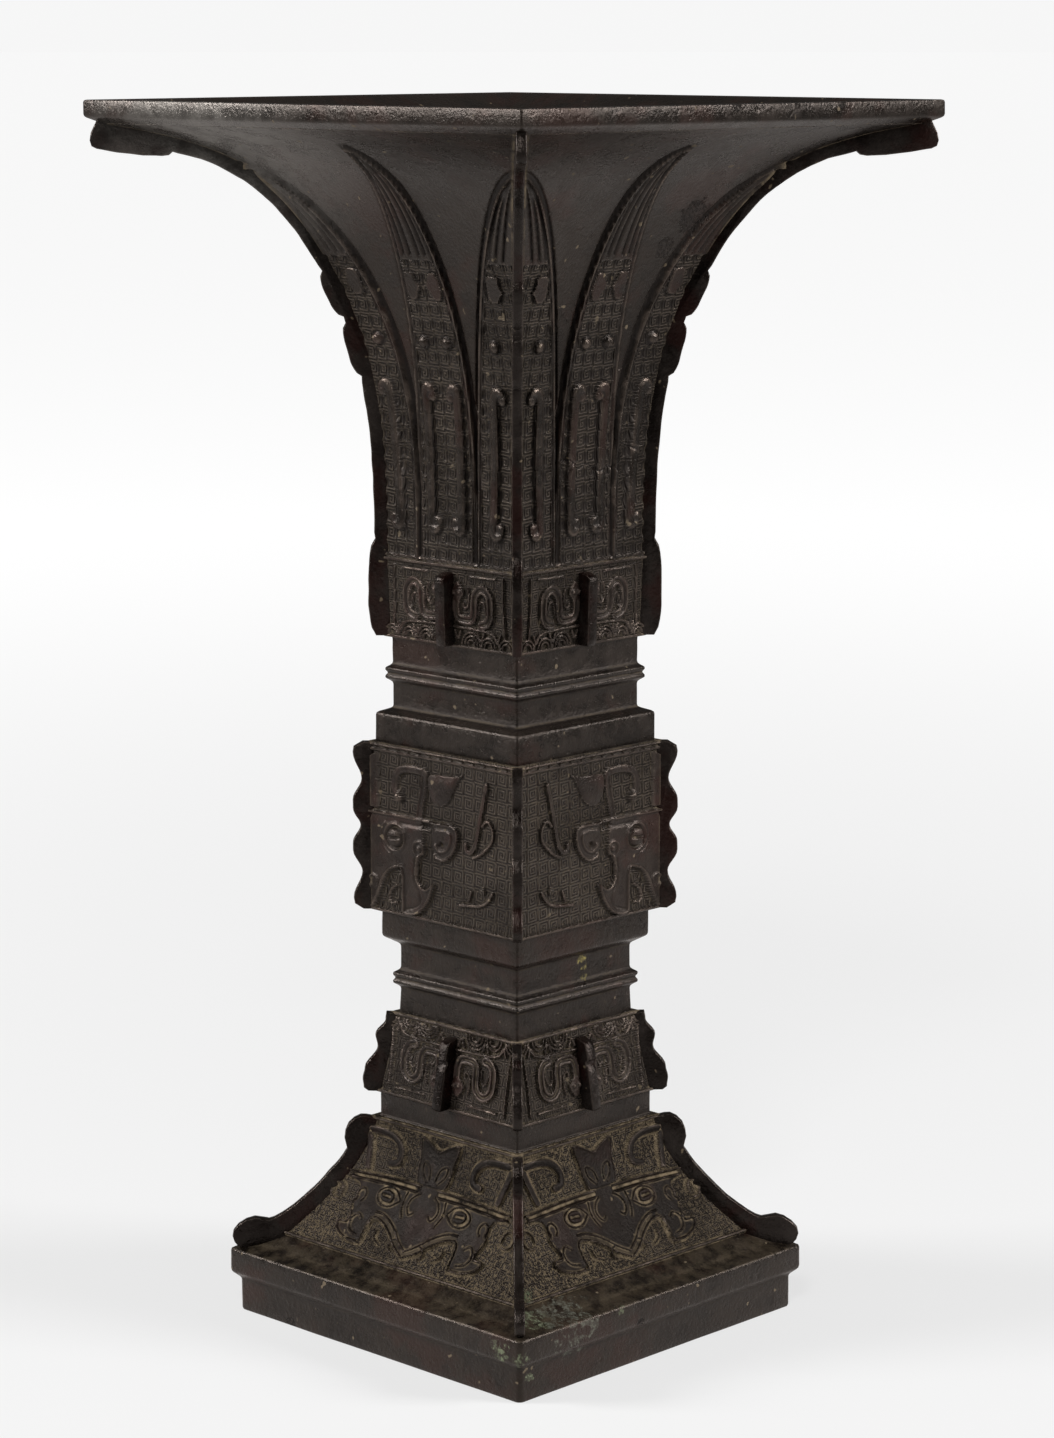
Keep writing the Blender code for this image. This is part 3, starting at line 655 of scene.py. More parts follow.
def draw_flare(relief, side):
    """The middle leaf, the two halves of corner leaves and what stands on them."""
    relief.height += 0.10 * lumps(relief.across, relief.along, 26.0, 11 + side)
    middle = [(leaf_half_at(z), z) for z in leaf_levels(LEAF_SPAN)]
    middle += flip(reversed(middle[:-1]))
    fill_leaf(relief, middle, (LEAF_HALF, -LEAF_HALF))
    for turn in (1.0, -1.0):
        relief.place = half_of_side(turn)
        half = [(float(flare_half(z)) - corner_leaf_at(z), z) for z in leaf_levels(HALF_LEAF_SPAN)]
        heights = (LEAF_LOW + HALF_LEAF_SPAN, 340.0, 300.0, LEAF_LOW)
        half += [(float(flare_half(level)) + 9.0, level) for level in heights]
        fill_leaf(relief, half, (turn * (THROAT_HALF - HALF_LEAF_WIDTH), turn * (THROAT_HALF + 9.0)))
        tip_lines(relief)
        for bar in (BAR, SIDE_BAR):
            relief.ridge(bar, BAR_WIDTH, 1.65, slope=0.5, crown=0.55)
            for end in (bar[0], bar[-1]):
                relief.ridge([end, end], KNOB_WIDTH, 1.6, slope=0.6, rounds=0, crown=0.45)
        for plate in (HORN, SIDE_HORN):
            relief.plate(plate, 1.5, slope=0.4, rounds=1)
        for across in (4.9, 25.2):
            relief.ridge([(across, EYE_LEVEL)] * 2, 5.0, 0.75, slope=0.3, rounds=0, crown=0.0)
            relief.boss((across, EYE_LEVEL), 2.0, 1.5)
    relief.place = half_of_side(1.0)
    relief.ridge([(-40.0, 255.2), (40.0, 255.2)], 0.8, 1.1, rounds=0, crown=0.0)
    if side == 1:
        for crack in REPAIR_CRACKS:
            relief.groove(crack, 0.55, 0.45, rounds=0)


def dragon(relief):
    """One dragon with scales at its foot."""
    body = [(14.6, 236.4), (16.8, 236.8), (18.3, 239.2), (18.4, 243.0), (17.9, 246.2), (14.9, 248.2)]
    body += [(11.9, 246.2), (11.4, 243.4), (11.4, 239.6), (10.4, 237.4), (7.3, 237.2), (4.4, 237.6)]
    body += [(3.6, 240.4), (3.8, 243.4)]
    relief.ridge(body, 3.1, 1.05, slope=0.4, crown=0.1)
    relief.groove(body, 0.85, 0.75)
    head = [(1.7, 245.6), (4.3, 250.6), (7.6, 246.2), (5.4, 243.4), (4.3, 242.8), (3.2, 243.4)]
    relief.plate(head, 1.1, slope=0.4, rounds=1)
    for across in (3.1, 5.3):
        relief.boss((across, 246.0), 0.8, 0.6)
    relief.ridge([(8.6, 247.8), (9.4, 245.0), (8.8, 241.6), (7.0, 241.0), (6.8, 242.6)], 0.8, 0.7)
    relief.ridge([(22.6, 229.8), (21.2, 232.4), (18.6, 234.5), (11.0, 234.7), (2.4, 234.9)], 0.9, 0.9)
    relief.ridge([(24.2, 252.0), (24.0, 240.0), (24.6, 233.0)], 0.7, 0.7)
    relief.ridge([(20.8, 251.6), (9.4, 251.4)], 0.8, 0.7)
    relief.ridge([(16.6, 240.0), (15.8, 243.8), (13.8, 243.8), (13.4, 239.6)], 0.7, 0.6)
    for middle, radii in ((17.4, (2.9, 1.7)), (9.9, (4.0, 2.8, 1.6)), (25.2, (3.0, 1.8))):
        for radius in radii:
            relief.ridge(arc_points((middle, 229.6), radius, 0, 180, 9), 0.7, 0.8, slope=0.3)
    for middle in (4.2, 14.2, 21.3):
        scale = [(middle - 1.2, 233.6), (middle, 230.6), (middle + 1.2, 233.6)]
        relief.ridge(scale, 0.8, 0.9, slope=0.3, rounds=1)


def band_ground(relief, side, low, top):
    """Fine ground of a band with a plain line at each edge."""
    relief.height += 0.06 * lumps(relief.across, relief.along, 20.0, 31 + side)
    relief.shade = 0.45 * cell_pits(relief.across, relief.along, BAND_CELL, 0.9)
    relief.ground[:] = 1.0
    for z in (low + 0.6, top - 0.6):
        relief.ridge([(-40.0, z), (40.0, z)], 1.0, 0.7, rounds=0)


def draw_band(relief, side):
    """Upper band: two dragons that face the middle flange."""
    band_ground(relief, side, BAND_LOW, FLARE_LOW)
    for turn in (1.0, -1.0):
        relief.place = half_of_side(turn)
        dragon(relief)


def draw_lower(relief, side):
    """Lower band: the same dragons upside down."""
    band_ground(relief, side, LOWER_LOW, LOWER_TOP)
    share = (LOWER_TOP - LOWER_LOW) / (FLARE_LOW - BAND_LOW)
    for turn in (1.0, -1.0):
        relief.place = lambda across, z: (turn * across * 1.08, LOWER_TOP - (z - BAND_LOW) * share)
        dragon(relief)


def draw_panel(relief, side):
    """Half a mask beside the outer corner, drawn with that corner at positive across."""
    relief.height += 0.08 * lumps(relief.across, relief.along, 24.0, 51 + side)
    relief.shade = 0.40 * cell_pits(relief.across, relief.along, PANEL_CELL, 0.9)
    relief.ground[:] = 1.0
    for z in (PANEL_TOP - 0.7, PANEL_TOP - 2.3, PANEL_LOW + 0.7):
        relief.ridge([(-40.0, z), (40.0, z)], 1.0, 0.7, rounds=0)
    relief.place = half_of_side(-1.0)
    panel_horns(relief)
    panel_face(relief)
    panel_ear(relief)
    panel_eye(relief)
    panel_limbs(relief)


def panel_horns(relief):
    """The horn over the brow and the taller one beside it."""
    tall_horn = [(-12.8, 190.6), (-10.0, 188.2), (-7.6, 187.0), (-2.0, 186.8), (5.0, 186.6), (5.6, 184.0)]
    tall_horn += [(5.2, 180.0), (3.4, 177.0), (0.2, 175.8), (-3.6, 178.0), (-6.0, 182.4), (-8.2, 186.6)]
    relief.plate(tall_horn, 0.9, rounds=2, crown=0.25)
    relief.groove([(-8.0, 187.2), (-5.6, 182.2), (-3.4, 178.6), (0.4, 176.4)], 0.7, 0.35)
    horn = [(18.3, 176.6), (20.2, 178.6), (20.6, 181.0), (20.0, 184.4), (17.6, 186.4), (12.0, 187.0),
            (7.6, 186.6)]
    relief.ridge(horn, 2.6, 1.0, crown=0.3)
    relief.ridge([(7.0, 186.0), (7.4, 181.0), (9.0, 175.0), (9.6, 170.6)], 2.8, 0.95, crown=0.1)
    relief.groove([(7.4, 185.0), (7.9, 180.6), (9.5, 174.6), (10.0, 171.0)], 0.6, 0.4)
    relief.boss((18.2, 176.8), 1.5, 0.7)


def panel_face(relief):
    """The raised face with its jaw, teeth and nostril."""
    face = [(34.5, 170.6), (20.0, 170.8), (10.4, 170.6), (7.6, 166.8), (7.2, 162.6), (9.2, 158.6),
            (10.6, 154.0)]
    face += [(10.2, 149.6), (7.6, 147.0), (4.6, 148.4), (3.0, 150.6), (4.2, 146.4), (6.6, 142.6),
             (9.4, 139.8)]
    face += [(13.6, 138.2), (16.4, 138.4), (16.6, 146.0), (16.6, 154.6), (20.0, 154.0), (23.4, 152.6)]
    face += [(26.2, 149.2), (28.0, 143.8), (31.0, 138.6), (34.5, 138.4)]
    relief.plate(face, 0.85, slope=0.7, rounds=1)
    jaw = [(9.8, 158.4), (10.9, 154.0), (10.3, 149.8), (7.6, 147.2), (4.6, 148.6), (3.2, 150.4),
           (4.6, 146.2)]
    jaw += [(7.0, 142.4), (9.6, 139.8), (13.6, 138.6), (16.2, 138.9)]
    relief.ridge(jaw, 0.9, 1.25)
    lip = [(11.4, 157.6), (12.2, 153.6), (11.6, 149.4), (9.4, 146.4), (8.6, 143.6), (11.0, 141.4),
           (15.0, 140.2)]
    relief.groove(lip, 0.7, 0.4)
    mouth = [(16.3, 139.2), (16.3, 154.2), (19.6, 153.8), (23.0, 152.4), (25.8, 149.2), (27.6, 144.2),
             (30.6, 139.0)]
    relief.ridge(mouth, 0.9, 1.3)
    gum = [(18.0, 140.0), (18.0, 151.6), (20.4, 151.8), (23.6, 149.0), (25.4, 144.0), (28.0, 139.0)]
    relief.groove(gum, 0.8, 0.5)
    relief.ridge([(19.6, 147.6), (21.4, 146.6), (23.4, 144.0), (22.2, 141.0), (20.2, 141.6)], 0.8, 0.95)
    relief.ridge(arc_points((9.6, 161.2), 2.3, 250, -40, 9), 0.9, 1.25)
    relief.boss((9.4, 161.0), 1.1, 0.7)
    relief.ridge(arc_points((30.0, 147.2), 2.2, -60, 250, 9), 0.8, 1.15)
    relief.groove([(5.6, 168.6), (18.0, 168.4)], 1.5, 0.55)
    relief.ridge([(4.0, 170.6), (12.0, 170.8), (34.5, 170.4)], 1.0, 1.25)


def panel_ear(relief):
    """The curled ear beside the brow."""
    ear = [(-7.4, 170.8), (-7.2, 165.0), (-5.0, 161.0), (-1.6, 158.6), (1.6, 159.2), (4.0, 162.4),
           (4.2, 166.4)]
    ear += [(3.2, 170.6)]
    relief.plate(ear, 0.75, rounds=1)
    relief.ridge([(3.4, 170.2)] + ear[:5] + [(2.4, 160.2)], 1.0, 1.2)
    curl = [(2.0, 168.2), (-4.6, 168.6), (-4.6, 165.0), (-2.4, 161.8), (0.6, 161.2), (2.2, 163.4)]
    relief.ridge(curl, 0.9, 1.1)
    relief.ring((0.0, 163.6), 0.0, 1.5, -1.5)


def panel_eye(relief):
    """The round eye with its slit, and the edge of the corner beside it."""
    eye = (20.3, 163.3)
    relief.ring(eye, 4.5, 0.8, 0.45)
    relief.ring(eye, 3.4, 0.9, -0.5)
    relief.boss(eye, 3.2, 1.3)
    relief.groove([(22.4, 163.2), (18.2, 163.4)], 0.9, 0.9, rounds=0)
    relief.ridge(arc_points(eye, 6.2, -70, 45, 8), 0.7, 1.05)
    edge = [(28.4, 171.8), (28.4, 190.4), (30.0, 190.0), (34.5, 187.6), (34.5, 171.8)]
    relief.plate(edge, 0.95, slope=0.5, rounds=0)


def panel_limbs(relief):
    """The thin quills and claws beside the inner corner."""
    quill = [(-20.2, 186.0), (-18.2, 178.0), (-16.8, 172.0), (-15.6, 166.0), (-13.4, 163.0), (-11.4, 163.4)]
    relief.ridge(quill + [(-11.0, 165.4)], 1.6, 0.85)
    leaf = [(-18.4, 172.6), (-20.8, 175.0), (-23.2, 171.8), (-22.8, 168.0), (-20.4, 165.4), (-17.2, 162.8)]
    relief.ridge(leaf + [(-14.2, 161.6)], 1.0, 0.85)
    relief.ridge([(-22.8, 151.2), (-20.6, 147.8), (-16.4, 146.0), (-12.0, 145.8), (-8.4, 145.2)], 1.1, 0.9)
    relief.boss((-18.5, 151.3), 1.5, 0.9)
    relief.ridge([(-13.4, 150.4), (-12.2, 147.2)], 1.1, 0.7)


FOOT_LINE = 0.55
FOOT_LINE_RISE = 1.15
LOWER_LINE_RISE = FOOT_LINE_RISE - 0.1
LOWEST_LINE_RISE = FOOT_LINE_RISE - 0.3


def draw_foot(relief, side):
    """A whole mask in the middle of the foot panel."""
    pebble = lumps(relief.across, relief.along, 2.4 if relief.fine else 5.0, 71)
    relief.height += 0.10 * lumps(relief.across, relief.along, 22.0, 73 + side) + 0.07 * pebble
    relief.ground[:] = 1.0
    shield = [(0.0, 61.2), (3.6, 63.4), (9.2, 65.8), (8.4, 61.4), (7.6, 58.0), (7.4, 53.0), (6.2, 50.0)]
    shield += [(0.0, 49.4)]
    relief.plate(shield + flip(reversed(shield[1:-1])), 0.95, slope=0.6, rounds=1)
    nose = [(0.0, 50.4), (7.2, 50.2), (14.0, 49.8), (24.0, 49.4), (36.0, 48.6), (36.4, 46.8), (31.0, 46.0)]
    nose += [(29.8, 44.6), (30.4, 40.6), (29.0, 37.6), (29.6, 34.6), (33.4, 34.6), (32.0, 31.4),
             (26.2, 29.5)]
    nose += [(20.2, 29.6), (20.2, 37.6), (15.0, 37.2), (9.6, 34.6), (5.2, 31.2), (0.0, 29.2)]
    relief.plate(nose + flip(reversed(nose[1:-1])), 0.7, slope=0.7, rounds=1)
    for turn in (1.0, -1.0):
        relief.place = half_of_side(turn)
        foot_brow(relief)
        foot_eye(relief)
        foot_jaw(relief)
    relief.place = half_of_side(1.0)
    for z in (FOOT_TOP - 0.7, FOOT_LOW + 0.6):
        relief.ridge([(-70.0, z), (70.0, z)], 1.0, 0.6, rounds=0)


def foot_line(relief, points, rise=FOOT_LINE_RISE):
    """One thin raised line of the foot's mask."""
    relief.ridge(points, FOOT_LINE, rise)


def foot_brow(relief):
    """Half of the shield on the forehead, one horn and the brow line."""
    foot_line(relief, [(0.4, 61.0), (3.6, 63.0), (8.8, 65.2), (8.0, 61.0), (7.3, 58.0), (7.1, 53.0),
                       (6.0, 50.6)])
    foot_line(relief, [(2.4, 51.4), (5.2, 54.0), (5.6, 57.6), (2.0, 56.0), (1.4, 52.4)])
    horn = [(31.4, 62.6), (27.6, 62.9), (22.0, 62.6), (17.8, 60.6), (16.0, 57.4), (16.8, 54.4),
            (20.2, 53.8)]
    relief.ridge(horn, 2.5, 1.0, crown=0.3)
    relief.ridge([(32.0, 61.2), (30.6, 56.0), (29.6, 51.2)], 2.3, 0.9, crown=0.2)
    foot_line(relief, [(4.0, 49.7), (14.0, 49.9), (24.0, 49.4), (36.2, 48.6)])
    foot_line(relief, [(5.0, 47.7), (14.0, 47.7), (24.0, 47.4), (36.2, 46.9)], LOWER_LINE_RISE)
    relief.groove([(4.4, 48.7), (14.0, 48.8), (24.0, 48.4), (36.0, 47.8)], 0.9, 0.4)


def foot_eye(relief):
    """One eye of the foot's mask, with the lines between it and the nose."""
    almond = [(10.6, 44.0), (13.0, 46.8), (17.2, 47.2), (21.6, 44.8), (19.6, 41.6), (14.4, 41.2)]
    foot_line(relief, almond + almond[:1], LOWER_LINE_RISE)
    eyeball = [(13.2, 44.2), (14.2, 46.0), (18.4, 46.2), (19.6, 44.4), (18.4, 42.4), (14.0, 42.4)]
    relief.plate(eyeball, 1.35, rounds=2, crown=0.2)
    relief.groove([(15.0, 44.2), (18.0, 44.4)], 0.9, 0.8, rounds=0)
    foot_line(relief, [(3.2, 47.6), (5.6, 46.4), (7.2, 43.6), (5.2, 40.6), (3.4, 41.8)], LOWER_LINE_RISE)
    foot_line(relief, [(8.6, 47.0), (9.4, 43.0), (7.4, 39.6)], LOWER_LINE_RISE)


def foot_jaw(relief):
    """Half of the jaw, with the curls at its end and beside it."""
    foot_line(relief, [(20.2, 30.2), (20.2, 37.8), (15.0, 37.4), (9.6, 34.9), (5.2, 31.5), (0.0, 29.4)])
    foot_line(relief, [(18.6, 39.2), (14.6, 39.2), (8.6, 36.6), (4.2, 33.2), (0.0, 31.2)], LOWER_LINE_RISE)
    foot_line(relief, [(5.4, 33.6), (7.4, 33.0), (8.0, 31.0), (6.4, 30.2)], LOWEST_LINE_RISE)
    curl = arc_points((27.6, 42.8), 1.9, 250, -50, 8) + [(30.4, 40.6), (29.9, 38.2), (28.2, 36.0)]
    foot_line(relief, curl, LOWER_LINE_RISE)
    foot_line(relief, [(28.2, 36.0), (28.8, 34.1), (33.2, 34.6), (32.0, 31.6), (26.2, 29.9), (20.4, 30.0)])
    foot_line(relief, [(23.0, 31.6), (27.0, 32.4), (28.0, 35.6), (25.6, 37.8),
                       (23.4, 36.2)], LOWER_LINE_RISE)
    foot_line(relief, arc_points((39.0, 42.0), 2.6, 200, -120, 9), LOWEST_LINE_RISE)
    foot_line(relief, [(12.0, 31.0), (15.4, 32.2), (15.4, 34.4)], LOWEST_LINE_RISE)


# columns of each panel's grid

def even_columns(front, back):
    """Columns spread evenly from corner to corner."""
    def columns_at(half, is_front):
        return np.linspace(-half, half, front if is_front else back)
    return columns_at


def leaf_columns(half, is_front):
    """Columns that stay close together on the leaves and spread on the plain metal between them."""
    fine, plain = (34, 12) if is_front else (15, 6)
    middle = 13.6
    corner = min(17.6, half - middle - 0.5)
    inner = np.linspace(0.0, middle, fine + 1)
    between = np.linspace(middle, half - corner, plain + 1)[1:]
    outer = np.linspace(half - corner, half, fine + 8)[1:]
    one_side = np.concatenate([inner, between, outer])
    return np.concatenate([-one_side[:0:-1], one_side])


# flanges, drawn as (distance from the axis, level)

def waved(stations, steps=6):
    """Join the crests and hollows of a flange with smooth waves."""
    points = [stations[0]]
    for before, after in zip(stations, stations[1:]):
        for step in range(1, steps + 1):
            share = step / steps
            ease = (1.0 - math.cos(math.pi * share)) / 2
            reach = before[0] + (after[0] - before[0]) * ease
            points.append((reach, before[1] + (after[1] - before[1]) * share))
    return points


def flare_flange_outline():
    """Long flange under the flare, from the deep lobe under the rim down to the foot of the upper band."""
    low = BAND_LOW + 0.4
    lobes = ((332.5, 347.5), (313.0, 330.5), (low, 260.0))
    levels = list(np.linspace(384.6, 349.5, 16))
    for lobe_low, lobe_top in lobes:
        levels += list(np.linspace(lobe_top, lobe_low, 14))
    levels += list(np.linspace(311.0, 262.0, 12))
    levels.sort(reverse=True)
    half = np.array([float(flare_half(level)) for level in levels])
    spots = np.stack([half * ROOT_TWO, np.array(levels)], axis=1)
    run = np.gradient(spots, axis=0)
    run /= np.linalg.norm(run, axis=1)[:, None]
    normal = np.stack([-run[:, 1], run[:, 0]], axis=1)
    reach = np.full(len(levels), 3.4)
    for lobe_low, lobe_top in lobes:
        for index, level in enumerate(levels):
            if lobe_low <= level <= lobe_top:
                share = (level - lobe_low) / (lobe_top - lobe_low)
                reach[index] = 3.1 + 2.3 * min(1.0, 2.2 * math.sqrt(share * (1.0 - share)))
    edge = spots + normal * reach[:, None]
    root = spots - normal * FLANGE_SINK
    lobe = [(132.4, 393.4), (134.2, 389.6), (134.7, 387.2), (134.2, 385.4), (132.6, 384.6), (126.0, 383.6)]
    lobe += [(118.0, 382.6), (112.0, 382.3), (109.8, 382.7), (108.6, 383.8)]
    return lobe + [tuple(spot) for spot in edge] + [tuple(spot) for spot in root[::-1]] + [(129.2, 394.6)]


def block_flange_outline():
    """Scalloped flange of the mask block, the same above and below its middle."""
    middle = (PANEL_TOP + PANEL_LOW) / 2
    span = (PANEL_TOP - PANEL_LOW) / 2
    corner = PANEL_HALF * ROOT_TWO
    stations = ((4.9, 0.93), (5.2, 0.86), (2.3, 0.55), (5.3, 0.30), (5.3, 0.20), (2.8, 0.0))
    upper = [(corner + reach, middle + span * share) for reach, share in stations]
    lower = [(reach, 2.0 * middle - level) for reach, level in reversed(upper[:-1])]
    top = middle + span * 0.99
    low = middle - span * 0.99
    edge = [(corner + 2.0, top)] + waved(upper + lower) + [(corner + 2.0, low)]
    return edge + [(corner - FLANGE_SINK, low), (corner - FLANGE_SINK, top)]


def lower_flange_outline():
    """Flange of the lower band: a thin start, a small lobe and a large one."""
    span = LOWER_TOP - LOWER_LOW
    start = LOWER_TOP_HALF * ROOT_TWO
    end = LOWER_LOW_HALF * ROOT_TWO
    stations = ((0.99, 2.2), (0.90, 2.0), (0.71, 4.2), (0.56, 2.6), (0.30, 5.3), (0.16, 5.3), (0.05, 4.4))
    path = [(end + (start - end) * share + reach, LOWER_LOW + span * share) for share, reach in stations]
    low = LOWER_LOW + span * 0.01
    top = LOWER_LOW + span * 0.99
    return waved(path) + [(end + 2.6, low), (end - FLANGE_SINK, low), (start - FLANGE_SINK, top)]


def foot_flange_outline():
    """Flange of the foot: a lobe, a long sweep, and a lobe that lies on the slope."""
    lobe = [(49.5, 67.1), (51.4, 67.2), (53.6, 66.2), (55.4, 64.4), (56.4, 62.0), (56.8, 59.4),
            (56.2, 57.2)]
    sweep = [(55.9, 55.8), (57.4, 53.6), (60.0, 50.2), (63.6, 46.0), (67.0, 42.4), (70.6, 39.0),
             (74.4, 35.8)]
    sweep += [(77.8, 33.4), (80.4, 31.9), (82.2, 31.3)]
    toe = [(84.4, 31.7), (87.0, 32.2), (89.8, 31.4), (92.4, 29.6), (94.0, 27.6), (94.4, 25.6), (93.8, 23.6)]
    toe += [(92.8, 22.4)]
    root = [(88.0, 20.0), (78.0, 21.5), (62.0, 34.0), (52.0, 48.0), (44.5, 66.0)]
    return lobe + sweep + toe + root


def middle_flange_outline(top, low, top_half, low_half, notch):
    """Short flange in the middle of a band."""
    edge = [(top_half - 1.6, top), (top_half + 0.8, top), (top_half + 3.9, top - 0.9)]
    edge.append((top_half + MIDDLE_FLANGE_REACH, top - 2.0))
    if notch:
        level = low + (top - low) * 0.66
        half = low_half + (top_half - low_half) * 0.66 + MIDDLE_FLANGE_REACH
        for depth, rise in ((0.0, 1.4), (1.0, 0.5), (1.0, -0.5), (0.0, -1.4)):
            edge.append((half - depth, level + rise))
    edge += [(low_half + MIDDLE_FLANGE_REACH, low + 0.8), (low_half + 4.0, low), (low_half - 1.6, low)]
    return edge


def with_short_steps(outline, longest):
    """Put extra points on the long sides of a closed outline."""
    spots = [np.array(point, float) for point in outline]
    return with_steps(spots + spots[:1], longest)[:-1]


# wear on each loop of points across a flange, most of it on the two bevels
FLANGE_WEAR = (0.3, 0.8, 0.35, 0.0, 0.35, 0.8, 0.3)


def flange(name, outline, thick, angle, seed):
    """A flat plate with eased edges that stands out from the axis at an angle."""
    spots = np.array(with_short_steps(outline, 2.2))
    around = len(spots)
    after = np.roll(spots, -1, axis=0)
    before = np.roll(spots, 1, axis=0)
    run = after - before
    run /= np.maximum(np.linalg.norm(run, axis=1), 1e-6)[:, None]
    turn = np.sum(spots[:, 0] * after[:, 1] - after[:, 0] * spots[:, 1])
    inward = np.stack([-run[:, 1], run[:, 0]], axis=1) * (1.0 if turn > 0 else -1.0)
    uneven = 0.12 * lumps(spots[:, 0], spots[:, 1], 9.0, seed)
    spots = spots + inward * uneven[:, None]
    face = thick / 2
    rim = [(-face, FLANGE_BEVEL), (-face + FLANGE_BEVEL * 0.35, FLANGE_BEVEL * 0.3)]
    rim.append((-face + FLANGE_BEVEL, 0.0))
    rim += [(0.0, -0.12)] + [(-offset, inset) for offset, inset in reversed(rim)]
    loops = []
    for offset, inset in rim:
        moved = spots + inward * inset
        loops.append(np.stack([moved[:, 0], np.full(around, offset), moved[:, 1]], axis=1))
    points = np.concatenate(loops)
    faces = []
    for here in range(0, (len(loops) - 1) * around, around):
        above = here + around
        for column in range(around):
            beside = (column + 1) % around
            faces.append((here + column, here + beside, above + beside, above + column))
    faces.append(tuple(range(around - 1, -1, -1)))
    faces.append(tuple(range((len(loops) - 1) * around, len(loops) * around)))
    cosine = math.cos(angle)
    sine = math.sin(angle)
    spin = np.array(((cosine, sine, 0.0), (-sine, cosine, 0.0), (0.0, 0.0, 1.0)))
    crest = np.repeat(FLANGE_WEAR, around)
    return new_object(name, points @ spin, faces, {"crest": crest, "hollow": np.zeros(len(points))})


# surfaces

class Graph:
    """Short calls for building a node graph."""

    def __init__(self, tree):
        self.tree = tree

    def node(self, kind, inputs=None, **settings):
        """A new node with its settings made and its inputs fed."""
        made = self.tree.nodes.new(kind)
        for key, value in settings.items():
            setattr(made, key, value)
        for key, value in (inputs or {}).items():
            self.feed(made.inputs[key], value)
        return made

    def feed(self, socket, value):
        """Link an input to another node, or set it to a value."""
        if isinstance(value, bpy.types.NodeSocket):
            self.tree.links.new(value, socket)
        else:
            socket.default_value = value

    def noise(self, where, scale, detail=5.0, roughness=0.6, distortion=0.0):
        """Noise between 0 and 1."""
        made = self.node("ShaderNodeTexNoise", {"Vector": where, "Scale": scale, "Detail": detail,
                                                "Roughness": roughness, "Distortion": distortion})
        return made.outputs["Fac"]

    def span(self, value, low, high, out_low=0.0, out_high=1.0):
        """Ease a value's range into another range."""
        inputs = {"Value": value, "From Min": low, "From Max": high, "To Min": out_low, "To Max": out_high}
        return self.node("ShaderNodeMapRange", inputs, interpolation_type="SMOOTHSTEP").outputs["Result"]

    def mark(self, name):
        """A value that the mesh carries on its points."""
        return self.node("ShaderNodeAttribute", attribute_name=name).outputs["Fac"]

    def plain(self, kind, first, second=0.0):
        """The named sum of two values."""
        return self.node("ShaderNodeMath", {0: first, 1: second}, operation=kind).outputs[0]

    def sums(self, kind, first, second):
        """The named sum of two values, held between 0 and 1."""
        made = self.node("ShaderNodeMath", {0: first, 1: second}, operation=kind, use_clamp=True)
        return made.outputs[0]

    def times(self, first, second):
        """Product of two values, held between 0 and 1."""
        return self.sums("MULTIPLY", first, second)

    def distance(self, where, spot):
        """Distance from a spot that is given in millimetres."""
        inputs = {0: where, 1: [value * MM for value in spot]}
        return self.node("ShaderNodeVectorMath", inputs, operation="DISTANCE").outputs["Value"]

    def blend(self, kind, share, first, second):
        """From the first to the second by a share."""
        made = self.node("ShaderNodeMix", data_type=kind)
        for name, value in (("Factor", share), ("A", first), ("B", second)):
            self.feed(made.inputs[name], value)
        return made.outputs["Result"]

    def mix(self, share, first, second):
        """Blend of two colours."""
        return self.blend("RGBA", share, first, second)

    def blend_values(self, share, first, second):
        """Blend of two values."""
        return self.blend("FLOAT", share, first, second)

    def bump(self, height, strength, depth, below=None, invert=False):
        """Surface bent by a height, over another bump where one is given."""
        inputs = {"Height": height, "Strength": strength, "Distance": depth}
        made = self.node("ShaderNodeBump", inputs, invert=invert)
        if below is not None:
            self.feed(made.inputs["Normal"], below)
        return made.outputs["Normal"]


def colour(red, green, blue):
    """A colour with full cover."""
    return (red, green, blue, 1.0)


TAN = colour(0.170, 0.130, 0.082)
# painted shade: black for hollows, cut lines, dents, cracks and holes; also the tone of two dark corroded
# patches
SHADE_AND_STAIN_BLACK = colour(0.003, 0.002, 0.002)
GROUND_DUST = colour(0.080, 0.065, 0.052)
WORN_EDGE = colour(0.105, 0.081, 0.066)
PALE_GREEN = colour(0.130, 0.150, 0.090)
DULL_YELLOW = colour(0.230, 0.190, 0.060)
# a greenish film on the slab's slope, light enough to paint that slope's sheen as well
GREEN_FILM_AND_SHEEN = colour(0.085, 0.087, 0.068)
# painted highlight: the grey of a sheen painted high on the mouth
PAINTED_SHEEN_GREY = colour(0.130, 0.121, 0.110)
WARM_TINT = colour(1.0, 0.85, 0.76)

# painted highlight: a grey sheen painted high on the flared mouth; its middle, where it starts to fade and
# where it ends
PAINTED_SHEEN_SPOT = (-48.0, -84.0, 388.0)
PAINTED_SHEEN_FULL = 12.0
PAINTED_SHEEN_REACH = 62.0

METAL_SHARE = 0.30
WORN_METAL_SHARE = 0.9
DIRT_ROUGHNESS = 0.92
HOLLOW_ROUGHNESS = 0.80
SPIRAL_TURNS = 5.0

# noises: (scale, detail, roughness, distortion)
CLOUD = (16.0, 4.0, 0.55)
PATCH = (42.0, 5.0, 0.62)
MOTTLE = (120.0, 7.0, 0.68, 0.4)
CLUMP = (190.0, 6.0, 0.7)
PIT = (260.0, 2.0, 0.5)
BLOTCH = (300.0, 6.0, 0.7)
STRAY_SPECK = (330.0, 1.0, 0.4)
GRAIN = (850.0, 4.0, 0.6)
BREAK_UP = (950.0, 3.0, 0.6)
FINE_SPECK = (1250.0, 2.0, 0.5)

# depths of the bumps, in metres
GRAIN_DEPTH = 0.0009
LINE_DEPTH = 0.0009
DENT_DEPTH = 0.0010
